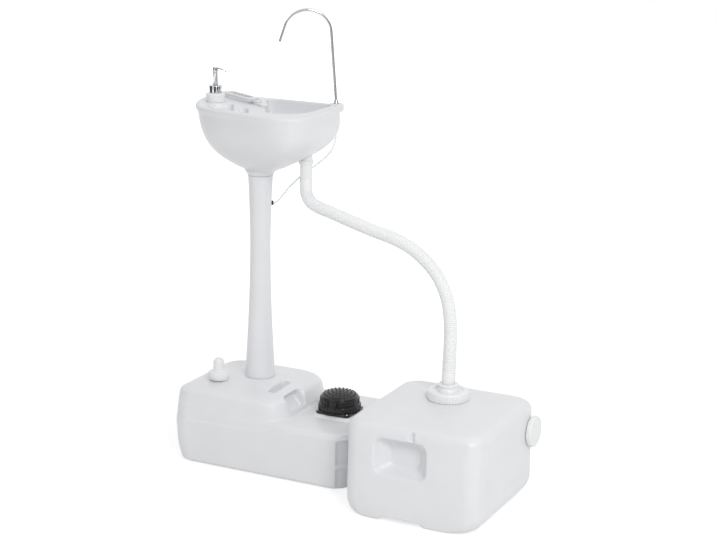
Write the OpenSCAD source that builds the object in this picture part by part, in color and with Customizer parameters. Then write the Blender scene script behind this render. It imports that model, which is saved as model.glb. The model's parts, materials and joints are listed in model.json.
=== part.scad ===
// Portable handwash station: a moulded basin on a pedestal, a fresh water tank for its foot with
// a foot pump, and a separate waste tank joined to the basin by a ribbed drain hose.
// The origin is on the floor under the pedestal's axis, X runs along both tanks, Y to the back.

/* [Base tank] */
// Length of the base tank
base_len = 560; // [500:5:640]
// Depth of the base tank, front to back
base_dep = 360; // [320:5:420]
// Height of the low deck that carries the foot pump
ledge_h = 154; // [140:1:165]
// Height of the deck under the pedestal
deck_h = 228; // [215:1:250]
// Distance from the tank's left end to the pedestal's axis
axis_left = 192; // [185:1:220]
// Length of the raised deck to the right of the pedestal's axis
deck_right = 142; // [135:1:150]
// How far the riser runs out from the raised deck to the low deck
riser_run = 22; // [16:1:28]
// Corner radius of the tank in plan
base_corner = 52; // [35:1:60]
// Radius of the bottom edge
base_edge = 12; // [8:1:30]
// Wall thickness of both tanks
tank_wall = 4; // [3:0.5:5]
// Length of the carry handle, front to back
handle_len = 96; // [86:1:104]
// Width of the finger pocket in the riser
finger_w = 48; // [36:1:50]
// Width of the thumb pocket in the deck
thumb_w = 26; // [18:1:30]

/* [Fill cap] */
// Place of the fill neck, left of the pedestal's axis
fill_x = 95; // [85:1:110]
// Place of the fill neck, in front of the pedestal's axis
fill_y = 70; // [50:1:80]
// Outer diameter of the cap's collar
fill_cap_d = 59; // [56:1:70]
// Height of the cap's collar
fill_cap_h = 18; // [16:1:24]
// Diameter of the cap's dome
fill_dome_d = 31; // [24:1:36]
// Height of the cap's dome
fill_dome_h = 39; // [24:1:45]
// Outer diameter of the fill neck
fill_neck_d = 48; // [44:1:50]

/* [Pedestal] */
// Length of the pedestal between the deck and the basin
pedestal_len = 582; // [520:1:640]
// Diameter at the foot
foot_d = 85; // [80:1:92]
// Diameter at the waist
waist_d = 58; // [54:1:64]
// Diameter at the top
top_d = 70; // [66:1:74]
// Height of the waist, as measured from the deck
waist_h = 382; // [340:1:420]
// Wall thickness of the pedestal
pedestal_wall = 3.5; // [2.5:0.5:4]
// Depth to which its two spigots go into the base and the basin
spigot_dep = 28; // [20:1:32]
// Diameter of the hole for the water tube
grommet_d = 10; // [9:0.5:12]

/* [Basin] */
// Length of the basin, left to right
basin_len = 433; // [415:1:445]
// Depth of the basin at the pedestal's axis, front to back
basin_dep = 291; // [280:1:305]
// Distance from the pedestal's axis to the basin's right side
basin_right = 193; // [188:1:200]
// Distance from the pedestal's axis to the basin's back
basin_back = 166; // [163:1:170]
// Height of the basin from its neck to its rim
basin_h = 190; // [180:1:200]
// Radius of the rolled rim
rim_roll = 10; // [6:1:12]
// Wall thickness of the basin
basin_wall = 4; // [3:0.5:5]
// Depth of the bowl
bowl_dep = 121; // [105:1:125]
// Radius of the lug that carries the faucet
lug_r = 22; // [20:1:28]
// Thickness of that lug
lug_h = 23; // [20:1:32]
// Depth of the two pockets in the tray
pocket_dep = 14; // [8:1:18]

/* [Drain] */
// Place of the drain, right of the pedestal's axis
drain_x = 115; // [112:1:118]
// Place of the drain, behind the pedestal's axis
drain_y = 53; // [50:1:56]
// Outer diameter of the drain body's thread
drain_d = 36; // [30:1:38]
// Wall thickness of the drain fittings
drain_wall = 2.5; // [2:0.5:3.5]
// Outer diameter of the drain's flange in the bowl
drain_flange_d = 50; // [46:1:54]
// Holes in one ring of the strainer
strainer_holes = 10; // [6:1:12]
// Outer diameter of the drain tail
tail_d = 34; // [32:1:35]

/* [Hoses] */
// Diameter of the drain hose over its ribs
hose_d = 36; // [32:1:38]
// Bore of the drain hose
hose_bore = 29; // [24:1:30]
// Depth of the grooves between the ribs
rib_dep = 1.6; // [1:0.1:2]
// Ribs on the drain hose
ribs = 150; // [100:1:160]
// Length of the plain cuff at each end of the drain hose
cuff_len = 34; // [24:1:40]
// Diameter of the water tubes
tube_d = 6; // [5:0.5:7]

/* [Foot pump] */
// Distance from the pedestal's axis to the pump's axis
pump_x = 256; // [250:1:262]
// Side of the pump's square flange
flange_w = 104; // [100:1:112]
// Thickness of the flange
flange_t = 6; // [4:0.5:8]
// Height of the pad that the flange sits on, above the low deck
pad_h = 8; // [5:1:12]
// Diameter of the bellows
bellows_d = 120; // [110:1:124]
// Height of the bellows
bellows_h = 36; // [32:1:42]
// Upright ribs round one tier of the bellows
bellows_ribs = 36; // [24:1:42]
// Wall of the bellows and of the crown
rubber_t = 3; // [2:0.5:4]
// Height of the domed crown
crown_h = 20; // [16:1:24]
// Travel of the foot pump
pump_travel = 26; // [18:1:27]
// Diameter of the valve body that hangs in the tank
valve_d = 58; // [50:1:60]
// Turns of the pump's spring
spring_turns = 5; // [4:1:6]

/* [Faucet] */
// Place of the faucet, right of the pedestal's axis
faucet_x = 148; // [146:1:151]
// Place of the faucet, behind the pedestal's axis
faucet_y = 167; // [164:1:170]
// Outer diameter of the faucet's tube
faucet_d = 8; // [7:0.5:10]
// Bore of the faucet's tube
faucet_bore = 6; // [4:0.5:6]
// Height at which the tube starts to bend, above the rim
faucet_rise = 199; // [170:1:220]
// Radius of the bend
faucet_bend = 66; // [50:1:80]
// Length of the straight end of the tube after the bend
faucet_drop = 45; // [20:1:60]

/* [Soap dispenser] */
// Place of the dispenser, left of the pedestal's axis
soap_x = 157; // [152:1:160]
// Place of the dispenser, behind the pedestal's axis
soap_y = 22; // [15:1:26]
// Diameter of the bottle
bottle_d = 42; // [38:1:43]
// Height of the bottle below the tray
bottle_h = 72; // [66:1:74]
// Diameter of the white cap
soap_cap_d = 54; // [52:1:60]
// Height of the white cap
soap_cap_h = 24; // [18:1:28]
// Diameter of the bright collar
collar_d = 37; // [32:1:40]
// Height of the bright collar
collar_h = 21; // [16:1:24]
// Diameter of the push head
head_d = 15; // [13:1:16]
// Travel of the push head
head_travel = 9; // [6:1:11]

/* [Towel arm] */
// Length of the arm from its pin to its end
arm_len = 176; // [120:1:190]
// Width of the arm's loop
arm_w = 40; // [32:1:44]
// Width of the arm's bars
arm_bar = 10; // [8:1:12]
// Thickness of the arm
arm_t = 7; // [5:0.5:9]
// Diameter of the arm's pin
pin_d = 6; // [5:0.5:7]

/* [Waste tank] */
// Length of the waste tank
waste_len = 384; // [370:1:410]
// Depth of the waste tank, front to back
waste_dep = 408; // [390:1:425]
// Height of the waste tank
waste_h = 271; // [266:1:280]
// Distance from the pedestal's axis to the waste tank's left side
waste_x = 421; // [410:1:430]
// Distance from the pedestal's axis to the waste tank's front
waste_front = 310; // [300:1:320]
// Corner radius of the waste tank in plan
waste_corner = 42; // [36:1:56]
// Height of the arch between its feet
arch_h = 10; // [6:1:12]
// Depth of the grip in its front
grip_dep = 40; // [25:1:45]
// Diameter of the big screw ring
ring_d = 115; // [110:1:122]
// Height of the big screw ring
ring_h = 25; // [20:1:30]
// Ribs round each screw cap
cap_ribs = 36; // [24:2:48]
// Diameter of the hose connector above the ring
connector_d = 60; // [48:1:64]
// Diameter of the cap on the right end
end_cap_d = 86; // [78:1:88]
// Height of the cap on the right end
end_cap_h = 16; // [14:1:24]

/* [Hidden] */
$fn = 64;

fit = 0.3;          // gap between pieces that seat but don't grip
slip = 0.05;        // running gap on a radius
past = 1;           // how far a cut runs past a face
gasket_t = 1.5;     // thickness of the flat seals
neck_bore_wall = 4; // wall of the screw necks

moulded = "#DADCDE";
white = "#EEF0F1";
rubber = "#161616";
chrome = "#C9CCD0";
clear_tube = "#E6EAEC";

base_left = -axis_left;
base_right = base_len - axis_left;
base_half = base_dep / 2;
neck_h = deck_h + pedestal_len;
rim_h = neck_h + basin_h;

// Unit vector along v
function unit(v) = v / norm(v);

// Closed ring of points on a rounded rectangle at height z, with n points on each corner;
// q is the radius of the right corner in front and s that of the right corner behind
function round_rect(x0, x1, y0, y1, r, z, n = 8, q = 0, s = 0) =
    let (k = q > 0 ? q : r, b = s > 0 ? s : k)
        [for (c = [[x1 - b, y1 - b, 0, b], [x0 + r, y1 - r, 90, r], [x0 + r, y0 + r, 180, r], [x1 - k, y0 + k, 270, k]])
            for (i = [0:n - 1])
                let (a = c[2] + 90 * i / (n - 1))
                    [c[0] + c[3] * cos(a), c[1] + c[3] * sin(a), z]];

// Outline with softened corners; cuts has the length taken off at each corner
function softened(corners, cuts) = [
    for (i = [0:len(corners) - 1])
        let (n = len(corners), p = corners[i], a = p + cuts[i] * unit(corners[(i + n - 1) % n] - p),
            b = p + cuts[i] * unit(corners[(i + 1) % n] - p))
            for (u = [0:0.2:1])
                (1 - u) * (1 - u) * a + 2 * u * (1 - u) * p + u * u * b
];

// Flat outline of a rounded rectangle about the origin
function pill(w, h, r, n = 5) = [for (p = round_rect(-w / 2, w / 2, -h / 2, h / 2, r, 0, n)) [p[0], p[1]]];

// Outline of a ribbed round cap: n ribs that stand d above radius r
function ribbed(r, n, d) = [
    for (i = [0:n - 1])
        for (k = [[0, 0], [0.25, 0], [0.4, 1], [0.85, 1]])
            let (a = 360 * (i + k[0]) / n)
                (r + d * k[1]) * [cos(a), sin(a)]
];

// Triangles of the side between two neighbouring rings of n points, from index a up to index b
function band(a, b, n) = [
    for (j = [0:n - 1])
        let (k = (j + 1) % n)
            each [[a + j, b + j, b + k], [a + j, b + k, a + k]]
];

// Solid through a list of closed rings, lowest first
module loft(rings) {
    n = len(rings[0]);
    top = len(rings) - 1;
    polyhedron(
        points = [for (r = rings) each r],
        faces = [
            [for (j = [0:n - 1]) j],
            for (i = [0:top - 1]) each band(i * n, (i + 1) * n, n),
            [for (j = [n - 1:-1:0]) top * n + j]
        ]
    );
}

// Directions along a path
function tangents(p) = [for (i = [0:len(p) - 1]) unit(p[min(i + 1, len(p) - 1)] - p[max(i - 1, 0)])];

// Part of n that is square to t
function square_to(n, t) = unit(n - (n * t) * t);

// Normals carried along a path without twist
function normals(t, start) = [
    for (i = 0, n = square_to(start, t[0]); i < len(t);
        n = i + 1 < len(t) ? square_to(n, t[i + 1]) : n, i = i + 1)
        n
];

// Ring of points round a path's point
function ring_at(p, t, n, r, sides) = [
    for (j = [0:sides - 1])
        let (a = 360 * j / sides)
            p + r * (cos(a) * n + sin(a) * cross(t, n))
];

// Rings along a path; radii has one value for each point
function rings_along(path, radii, sides, start) =
    let (t = tangents(path), n = normals(t, start))
        [for (i = [0:len(path) - 1]) ring_at(path[i], t[i], n[i], radii[i], sides)];

// Solid round tube along a path
module rod(path, r, sides, start = [1, 0, 0]) {
    loft(rings_along(path, [for (p = path) r], sides, start));
}

// Tube with a bore, from its outer and inner rings
module pipe(outer, inner) {
    n = len(outer[0]);
    top = len(outer) - 1;
    hole = len(outer) * n;
    end = len(inner) - 1;
    polyhedron(
        points = [for (r = concat(outer, inner)) each r],
        faces = [
            for (i = [0:top - 1]) each band(i * n, (i + 1) * n, n),
            for (i = [0:end - 1]) each band(hole + (i + 1) * n, hole + i * n, n),
            each band(hole, 0, n),
            each band(top * n, hole + end * n, n)
        ]
    );
}

// Curve through a list of points, with k steps between neighbours
function through(p, k) = [
    for (i = [0:len(p) - 2])
        let (a = p[max(i - 1, 0)], b = p[i], c = p[i + 1], d = p[min(i + 2, len(p) - 1)])
            for (j = [0:k - 1])
                let (u = j / k)
                    (2 * b + (c - a) * u + (2 * a - 5 * b + 4 * c - d) * u * u
                        + (3 * b - a - 3 * c + d) * u * u * u) / 2,
    p[len(p) - 1]
];

// Length of a path up to each of its points
function run(p) = [
    for (i = 0, s = 0; i < len(p); s = i + 1 < len(p) ? s + norm(p[i + 1] - p[i]) : s, i = i + 1)
        s
];

// Points at the given lengths along a path
function points_at(p, lengths) =
    let (s = run(p), table = [for (k = [0:2]) [for (i = [0:len(p) - 1]) [s[i], p[i][k]]]])
        [for (l = lengths) [for (k = [0:2]) lookup(l, table[k])]];

// Least gap of a tube of radius r to itself, between points at least skip places apart
function least_gap(p, r, skip) = min([
    for (i = [0:len(p) - 1 - skip])
        for (j = [i + skip:len(p) - 1])
            norm(p[i] - p[j])
]) - 2 * r;

// Base tank

edge_steps = [0, 30, 60, 90];
belt_h = ledge_h - 27;
belt_sweep = 18;    // how far the belt rises towards the right end
ledge_round = 6;
upper_corner = 75;  // plan radius of the raised deck's right corner in front
back_share = 1.25;  // radius of the corner behind it, as a share of that

// Ring of the tank: height, inset from the left end, right end, inset from the front, corner radii
function base_ring(z, left, right, inset, r, w, q = 0) =
    round_rect(
        base_left + left + w, right - w, -base_half + inset + w, base_half - inset - w, max(r - w, 8), z, 8,
        q > 0 ? q - w : 0, q > 0 ? back_share * q - w : 0
    );

// Ring of the belt, lifted towards the right end
function swept(ring) = [
    for (p = ring)
        let (t = min(1, max(0, (p[0] - 40) / 220)))
            [p[0], p[1], p[2] + belt_sweep * t * t * (3 - 2 * t)]
];

tuck_h = 74;        // height up to which the left end is tucked in
tuck = 15;          // how far it is tucked in above the bottom edge

function base_bottom(w) = concat(
    [for (a = edge_steps)
        let (e = base_edge * (1 - sin(a)))
            base_ring(w + base_edge * (1 - cos(a)), e + tuck, base_right - e, e, base_corner - e / 2, w)],
    [base_ring(w + 30, 0.6 * tuck, base_right, 0, base_corner, w),
    base_ring(w + 52, 0.22 * tuck, base_right, 0, base_corner, w), base_ring(w + tuck_h, 0, base_right, 0, base_corner, w)]
);

function upper_ring(drop, left, right, inset, w, r = base_corner, q = upper_corner) =
    base_ring(deck_h - drop - w, left, deck_right + right, inset, r, w, q);

function base_top(w) = [
    swept(base_ring(belt_h - 3, 0, base_right, 0, base_corner, w)),
    swept(base_ring(belt_h, 1, base_right - 3, 3, base_corner, w)),
    base_ring(ledge_h - ledge_round - w, 0.5, base_right - 4, 5, base_corner, w),
    base_ring(ledge_h - 0.3 * ledge_round - w, 0.5, base_right - 6, 6, base_corner, w),
    base_ring(ledge_h - w, 0.5, base_right - 12, 7, base_corner, w),
    base_ring(ledge_h + 1.5 - w, 0.5, deck_right + riser_run, 8, base_corner, w, upper_corner),
    base_ring(ledge_h + 8 - w, 0.7, deck_right + riser_run - 6, 9, base_corner, w, upper_corner),
    upper_ring(32, 4, 9, 14, w),
    upper_ring(24, 12, 5, 19, w),
    upper_ring(18, 24, -1, 28, w),
    upper_ring(15, 34, -9, 46, w),
    upper_ring(11, 60, -26, 84, w, 44, 66),
    upper_ring(6, 92, -52, 112, w, 40, 54),
    upper_ring(1.5, 124, -80, 126, w, 36, 42),
    upper_ring(0, 136, -90, 131, w, 34, 38)
];

handle_y = -44;     // middle of the handle, in front of the axis
finger_y = -58;     // middle of the finger pocket
thumb_x = deck_right - 56;
finger_x = deck_right + 6;
finger_z = deck_h - 34;
finger_tilt = 50;
finger_dep = 27;
thumb_dep = 26;
end_grip_dep = 16;
end_grip_w = 210;

// Pockets on both sides of the handle, grown by w for the walls round them
module handle_pockets(w) {
    translate([thumb_x, handle_y, deck_h - 6 - thumb_dep - w])
        linear_extrude(thumb_dep + 40)
            polygon(pill(thumb_w + 2 * w, handle_len + 2 * w, 10 + w));
    translate([finger_x, finger_y, finger_z])
        rotate([0, finger_tilt, 0])
            translate([0, 0, -finger_dep - w])
                linear_extrude(finger_dep + 40)
                    polygon(pill(finger_w + 2 * w, handle_len - 8 + 2 * w, 12 + w));
}

// Two grips in the tank's left end, above and below the belt
module end_grips(w) {
    for (g = [[66, 58], [belt_h + 36, 42]])
        translate([base_left - 20, 0, g[0]])
            rotate([0, 90, 0])
                linear_extrude(20 + end_grip_dep + w)
                    polygon(pill(g[1] + 2 * w, end_grip_w + 2 * w, 12 + w));
}

recess_x = base_right - 34;     // from here on the right end is set back under the belt
recess_dep = 9;
recess_rib = [62, 68];          // heights of the rib that is left across the set back end

// Set back parts of the right end, grown by w for the wall behind them
module end_recess(w) {
    for (g = [[-past, recess_rib[0] + w], [recess_rib[1] - w, belt_h + belt_sweep - 6 + w]])
        difference() {
            translate([recess_x - w, -base_half - past, g[0]])
                cube([base_right - recess_x + w + past, base_dep + 2 * past, g[1] - g[0]]);
            translate([0, 0, -2 * past])
                linear_extrude(ledge_h)
                    polygon([
                        for (p = base_ring(0, 0, base_right - recess_dep, recess_dep, base_corner - recess_dep, w))
                            [p[0], p[1]]
                    ]);
        }
}

socket_r = foot_d / 2 - 8;
pad_top = ledge_h + pad_h;
pad_w = flange_w + 6;
screw_place = flange_w / 2 - 7;
valve_hole_r = valve_d / 2 + fit;
fill_seat = deck_h - 1;                 // top of the neck's thick foot, just under the cap
cap_skirt = fill_cap_h - 3;
fill_cap_z = fill_seat + fit;
neck_top = fill_cap_z + cap_skirt - fit - gasket_t;
fill_neck_r = fill_neck_d / 2;
fill_bore_r = fill_neck_r - neck_bore_wall;
seal_r = 8;

module base_shell() {
    difference() {
        loft(concat(base_bottom(0), base_top(0)));
        difference() {
            loft(concat(base_bottom(tank_wall), base_top(tank_wall)));
            handle_pockets(tank_wall);
            end_grips(tank_wall);
            end_recess(tank_wall);
            translate([0, 0, deck_h - spigot_dep - tank_wall])
                cylinder(r = socket_r + tank_wall, h = spigot_dep + past);
        }
        handle_pockets(0);
        end_grips(0);
        end_recess(0);
    }
}

module base_tank() color(moulded)
    difference() {
        union() {
            base_shell();
            translate([pump_x, 0, ledge_h - tank_wall / 2])
                linear_extrude(pad_h + tank_wall / 2)
                    polygon(pill(pad_w, pad_w, 14));
            translate([-fill_x, -fill_y, deck_h - 16])
                cylinder(r = fill_neck_r, h = neck_top - deck_h + 16);
            translate([-fill_x, -fill_y, deck_h - 16])
                cylinder(r = fill_neck_r + 3, h = fill_seat - deck_h + 16);
        }
        translate([0, 0, deck_h - spigot_dep])
            cylinder(r = socket_r, h = spigot_dep + past);
        translate([0, 0, deck_h - spigot_dep - 2 * tank_wall])
            cylinder(r = seal_r, h = 3 * tank_wall);
        translate([pump_x, 0, ledge_h - 3 * tank_wall])
            cylinder(r = valve_hole_r, h = pad_h + 3 * tank_wall + past);
        for (sx = [-1, 1])
            for (sy = [-1, 1])
                translate([pump_x + sx * screw_place, sy * screw_place, pad_top - 6])
                    cylinder(d = screw_d, h = 6 + past);
        translate([-fill_x, -fill_y, deck_h - 40])
            cylinder(r = fill_bore_r, h = 40 + neck_top - deck_h + past);
    }

// Fill cap: a ribbed collar that screws on the neck, with a tall dome over its vent

module fill_cap() color(white)
    translate([-fill_x, -fill_y, fill_cap_z]) {
        difference() {
            union() {
                linear_extrude(fill_cap_h - 2)
                    polygon(ribbed(fill_cap_d / 2 - 1, cap_ribs, 1));
                translate([0, 0, fill_cap_h - 2])
                    cylinder(d1 = fill_cap_d - 2, d2 = fill_cap_d - 7, h = 2);
                translate([0, 0, fill_cap_h - 1])
                    rotate_extrude()
                        dome_profile(fill_dome_d / 2, fill_dome_h + 1);
            }
            translate([0, 0, -past])
                cylinder(r = fill_neck_r + fit, h = cap_skirt + past);
        }
    }

// Half section of a dome that is a cylinder with a half round top
module dome_profile(r, h) {
    polygon(concat([[0, 0], [r + 1, 0], [r, 2]], [for (a = [0:10:90]) [r * cos(a), h - r + r * sin(a)]]));
}

module fill_gasket() color(rubber)
    translate([-fill_x, -fill_y, neck_top])
        difference() {
            cylinder(r = fill_neck_r, h = gasket_t);
            translate([0, 0, -past])
                cylinder(r = fill_bore_r, h = gasket_t + 2 * past);
        }

// Foot pump: flange on the low deck, spring and bellows, domed crown, and a valve body in the tank

flange_z = pad_top + gasket_t;
bellows_z = flange_z + flange_t;
crown_z = bellows_z + bellows_h;
screw_d = 4;
valve_len = 44;
valve_z = flange_z - valve_len;
chamber_r = 46;
port_x = 14;        // the inlet and outlet valves lie this far to each side of the pump's axis
port_d = 7;
flap_d = 14;

module pump_gasket() color(rubber)
    translate([pump_x, 0, pad_top])
        difference() {
            linear_extrude(gasket_t)
                polygon(pill(flange_w - 2, flange_w - 2, 11.5));
            translate([0, 0, -past])
                cylinder(r = valve_hole_r, h = gasket_t + 2 * past);
            for (sx = [-1, 1])
                for (sy = [-1, 1])
                    translate([sx * screw_place, sy * screw_place, -past])
                        cylinder(d = screw_d + 2 * fit, h = gasket_t + 2 * past);
        }

module pump_flange() color(rubber)
    translate([pump_x, 0, flange_z])
        difference() {
            linear_extrude(flange_t)
                polygon(pill(flange_w, flange_w, 12));
            translate([0, 0, flange_t / 2])
                cylinder(r = chamber_r, h = flange_t);
            translate([0, 0, -past])
                cylinder(r = valve_hole_r - 4, h = flange_t);
            for (sx = [-1, 1])
                for (sy = [-1, 1])
                    translate([sx * screw_place, sy * screw_place, -past])
                        cylinder(d = screw_d + 2 * fit, h = flange_t + 2 * past);
        }

module pump_screws() color(chrome)
    for (sx = [-1, 1])
        for (sy = [-1, 1])
            translate([pump_x + sx * screw_place, sy * screw_place, pad_top - 5])
                difference() {
                    union() {
                        cylinder(d = screw_d - 2 * slip, h = bellows_z - pad_top + 6, $fn = 20);
                        translate([0, 0, bellows_z - pad_top + 5])
                            cylinder(d1 = 7, d2 = 4.6, h = 2.4, $fn = 24);
                    }
                    for (a = [0, 90])
                        translate([0, 0, bellows_z - pad_top + 7])
                            rotate([0, 0, a])
                                cube([4, 0.8, 2], center = true);
                }

// Valve body: a cup with an inlet below and an outlet to the left, each under a flap
module pump_valve_body() color(white)
    translate([pump_x, 0, valve_z])
        difference() {
            union() {
                cylinder(d = valve_d - 10, h = valve_len);
                translate([0, 0, valve_len - 10])
                    cylinder(d = valve_d, h = 10);
                translate([port_x, 0, -14])
                    cylinder(d = port_d + 4, h = 15);
                translate([-valve_d / 2 - 8, 0, 12])
                    rotate([0, 90, 0])
                        cylinder(d = port_d + 4, h = valve_d / 2);
            }
            translate([0, 0, valve_len - 20])
                cylinder(d = valve_d - 16, h = 20 + past);
            for (s = [-1, 1])
                translate([s * port_x, 0, valve_len - 23])
                    cylinder(d = flap_d + 2 * fit, h = 4);
            translate([port_x, 0, -14 - past])
                cylinder(d = port_d, h = valve_len);
            translate([-port_x, 0, 12])
                cylinder(d = port_d, h = valve_len);
            translate([-valve_d / 2 - 8 - past, 0, 12])
                rotate([0, 90, 0])
                    cylinder(d = port_d, h = valve_d / 2 + 8 + past - port_x);
        }

module valve_flaps() color(rubber)
    for (s = [-1, 1])
        translate([pump_x + s * port_x, 0, valve_z + valve_len - 23])
            cylinder(d = flap_d, h = 1.6);

spring_seat = 3;    // depth of the spring's seat under the crown
spring_r = 17;
wire_r = 1.4;
spring_z = valve_z + valve_len - 20 + wire_r + 0.1;
spring_top = crown_z + spring_seat - 0.1 - wire_r;
spring_path = [
    for (i = [0:8 * spring_turns])
        let (a = 45 * i)
            [pump_x + spring_r * cos(a), spring_r * sin(a), spring_z + (spring_top - spring_z) * i / (8 * spring_turns)]
];

module pump_spring() color(chrome)
    rod(spring_path, wire_r, 6, [0, 0, 1]);

tier_h = bellows_h / 2;
tier_step = 4;
rib_out = 1.6;

// Bellows: two tiers of upright ribs, the upper one a little smaller
module pump_bellows() color(rubber)
    translate([pump_x, 0, bellows_z])
        difference() {
            union() {
                linear_extrude(tier_h)
                    polygon(ribbed(bellows_d / 2 - rib_out, bellows_ribs, rib_out));
                translate([0, 0, tier_h])
                    linear_extrude(tier_h)
                        polygon(ribbed(bellows_d / 2 - rib_out - tier_step, bellows_ribs, rib_out));
            }
            translate([0, 0, -past])
                cylinder(r = bellows_d / 2 - rib_out - tier_step - rubber_t, h = bellows_h + 2 * past);
        }

crown_r = bellows_d / 2 - tier_step - 3;
dome_rim = 3;
knob_out = 1.2;     // how far the knobs stand out of the dome
knob_d = 6.5;
dome_rise = crown_h - dome_rim - knob_out;
dome_core = (crown_r * crown_r + dome_rise * dome_rise) / (2 * dome_rise);

// Height of the dome at a distance from its middle
function dome_at(r) = dome_rim + dome_rise - dome_core + sqrt(dome_core * dome_core - r * r);

// Crown: the domed top that is stepped on, with knobs in rings
module pump_crown() color(rubber)
    translate([pump_x, 0, crown_z])
        difference() {
            union() {
                rotate_extrude()
                    polygon(concat([[0, 0], [crown_r, 0]], [
                        for (i = [0:10])
                            let (r = crown_r * (1 - i / 10))
                                [r, dome_at(r)]
                    ]));
                for (k = [[0, 1], [11, 6], [22, 12], [33, 18], [43, 24]])
                    for (i = [0:k[1] - 1])
                        rotate([0, 0, 360 * i / k[1]])
                            translate([k[0], 0, dome_rim])
                                cylinder(d = knob_d, h = dome_at(k[0]) + knob_out - dome_rim, $fn = 16);
            }
            translate([0, 0, -past])
                cylinder(r = spring_r + 4, h = past + spring_seat);
        }

// Suction side: a tube from the pump's inlet to a strainer on the tank's floor

suction_x = pump_x + port_x;
strainer_h = 16;
strainer_z = tank_wall + fit;
inlet_z = valve_z - 14;

module suction_tube() color(clear_tube)
    translate([suction_x, 0, strainer_z + strainer_h - 4])
        difference() {
            cylinder(d = 14, h = inlet_z + 10 - strainer_z - strainer_h + 4);
            translate([0, 0, -past])
                cylinder(d = port_d + 4 + 2 * slip, h = inlet_z);
        }

module suction_strainer() color(white)
    translate([suction_x, 0, strainer_z])
        difference() {
            union() {
                cylinder(d = 26, h = strainer_h - 4);
                translate([0, 0, strainer_h - 5])
                    cylinder(d = port_d + 4, h = 9);
            }
            translate([0, 0, 2])
                cylinder(d = 22, h = strainer_h - 8);
            translate([0, 0, 2])
                cylinder(d = port_d, h = strainer_h + 4);
            for (i = [0:5])
                rotate([0, 0, 30 * i])
                    translate([0, 0, 5.5])
                        cube([30, 2, 5], center = true);
        }

// Delivery side: a tube from the pump's outlet through the tank and up the pedestal to the grommet

grommet_z = 730;
grommet_turn = 31;
delivery_z = valve_z + 12;
delivery_route = [
    [219, 0, 130], [200, 0, 130], [150, 0, 131], [90, 0, 132], [45, 0, 136], [18, 0, 150], [5, 0, 172],
    [0, 0, 196], [0, 0, 240], [-2, 0, 320], [-3, 0, 420], [-3, -1, 520], [-2, -2, 600], [-1, -1, 660],
    [3, 1, 700], [8, 4.8, 720], [15, 9, 728.5], [20.8, 12.5, 730]
];

module delivery_tube() color(clear_tube)
    rod(through(delivery_route, 2), tube_d / 2, 8, [0, 1, 0]);

module tube_seal() color(rubber)
    translate([0, 0, deck_h - spigot_dep - tank_wall])
        difference() {
            union() {
                cylinder(r = seal_r - slip, h = tank_wall);
                translate([0, 0, tank_wall])
                    cylinder(r = seal_r + 4, h = 2);
            }
            translate([0, 0, -past])
                cylinder(d = tube_d + 2 * fit, h = tank_wall + 4);
        }

// Pedestal: a flared hollow column with a spigot at each end

waist_z = deck_h + waist_h;

// Radius of the pedestal at a height
function pedestal_r(z) = z < waist_z
    ? waist_d / 2 + (foot_d - waist_d) / 2 * pow((waist_z - z) / waist_h, 1.75)
    : waist_d / 2 + (top_d - waist_d) / 2 * pow((z - waist_z) / (pedestal_len - waist_h), 1.8);

foot_spigot_r = socket_r - fit;
top_spigot_r = top_d / 2 - 6;
pedestal_steps = 22;

module pedestal() color(moulded)
    difference() {
        rotate_extrude()
            polygon(concat(
                [[foot_spigot_r - pedestal_wall, deck_h - spigot_dep + 2.5],
                [foot_spigot_r, deck_h - spigot_dep + 2.5], [foot_spigot_r, deck_h + fit]],
                [for (i = [0:pedestal_steps])
                    let (z = deck_h + fit + (pedestal_len - fit) * i / pedestal_steps)
                        [pedestal_r(z), z]],
                [[top_spigot_r, neck_h], [top_spigot_r, neck_h + spigot_dep - fit],
                [top_spigot_r - pedestal_wall, neck_h + spigot_dep - fit], [top_spigot_r - pedestal_wall, neck_h - 8]],
                [for (i = [pedestal_steps - 1:-1:2])
                    let (z = deck_h + fit + (pedestal_len - fit) * i / pedestal_steps)
                        [pedestal_r(z) - pedestal_wall, z]],
                [[foot_spigot_r - pedestal_wall, deck_h + 12]]
            ));
        rotate([0, 0, grommet_turn])
            translate([0, 0, grommet_z])
                rotate([0, 90, 0])
                    cylinder(d = grommet_d, h = top_d);
    }

grommet_r = pedestal_r(grommet_z);
grommet_out = 5;

module tube_grommet() color(rubber)
    rotate([0, 0, grommet_turn])
        translate([grommet_r - 7, 0, grommet_z])
            rotate([0, 90, 0])
                difference() {
                    union() {
                        cylinder(d = grommet_d - 2 * slip, h = 8);
                        translate([0, 0, 7 + fit])
                            cylinder(d = grommet_d + 3, h = grommet_out - fit);
                    }
                    translate([0, 0, -past])
                        cylinder(d = 3, h = 7 + grommet_out + 2 * past);
                }

// Basin: a double walled D shaped shell with a bowl to the right and a tray to the left

basin_front = basin_dep - basin_back;
basin_left = basin_len - basin_right;
// Walls of the basin in plan: the direction of each from the axis, and its distance
basin_walls = [
    [5, basin_right], [90, basin_back], [180, basin_left], [216, basin_left - 62], [260, basin_front],
    [310, basin_right + 17]
];
plan_sharp = 8;     // the higher, the tighter the corners between the walls
body_lean = 9;      // how far the body swells to the right below the rim

// Distance from the middle to an outline of straight walls with rounded corners, in direction a
function walled(walls, sharp, a) = pow(
    [for (w = walls) pow(max(0, cos(a - w[0])) / w[1], sharp)] * [for (w = walls) 1],
    -1 / sharp
);

// Point of the basin's outline in plan
function basin_plan(a) = walled(basin_walls, plan_sharp, a) * [cos(a), sin(a)];

// Width of the basin's body at a depth below the rim, as a share of the rim's
function body_share(d) = 0.97 * pow(1 - pow(d / (basin_h + 5), 3.4), 1.15);
function lean_at(d) = body_lean * sin(180 * min(1, d / (0.76 * basin_h)));

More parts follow.
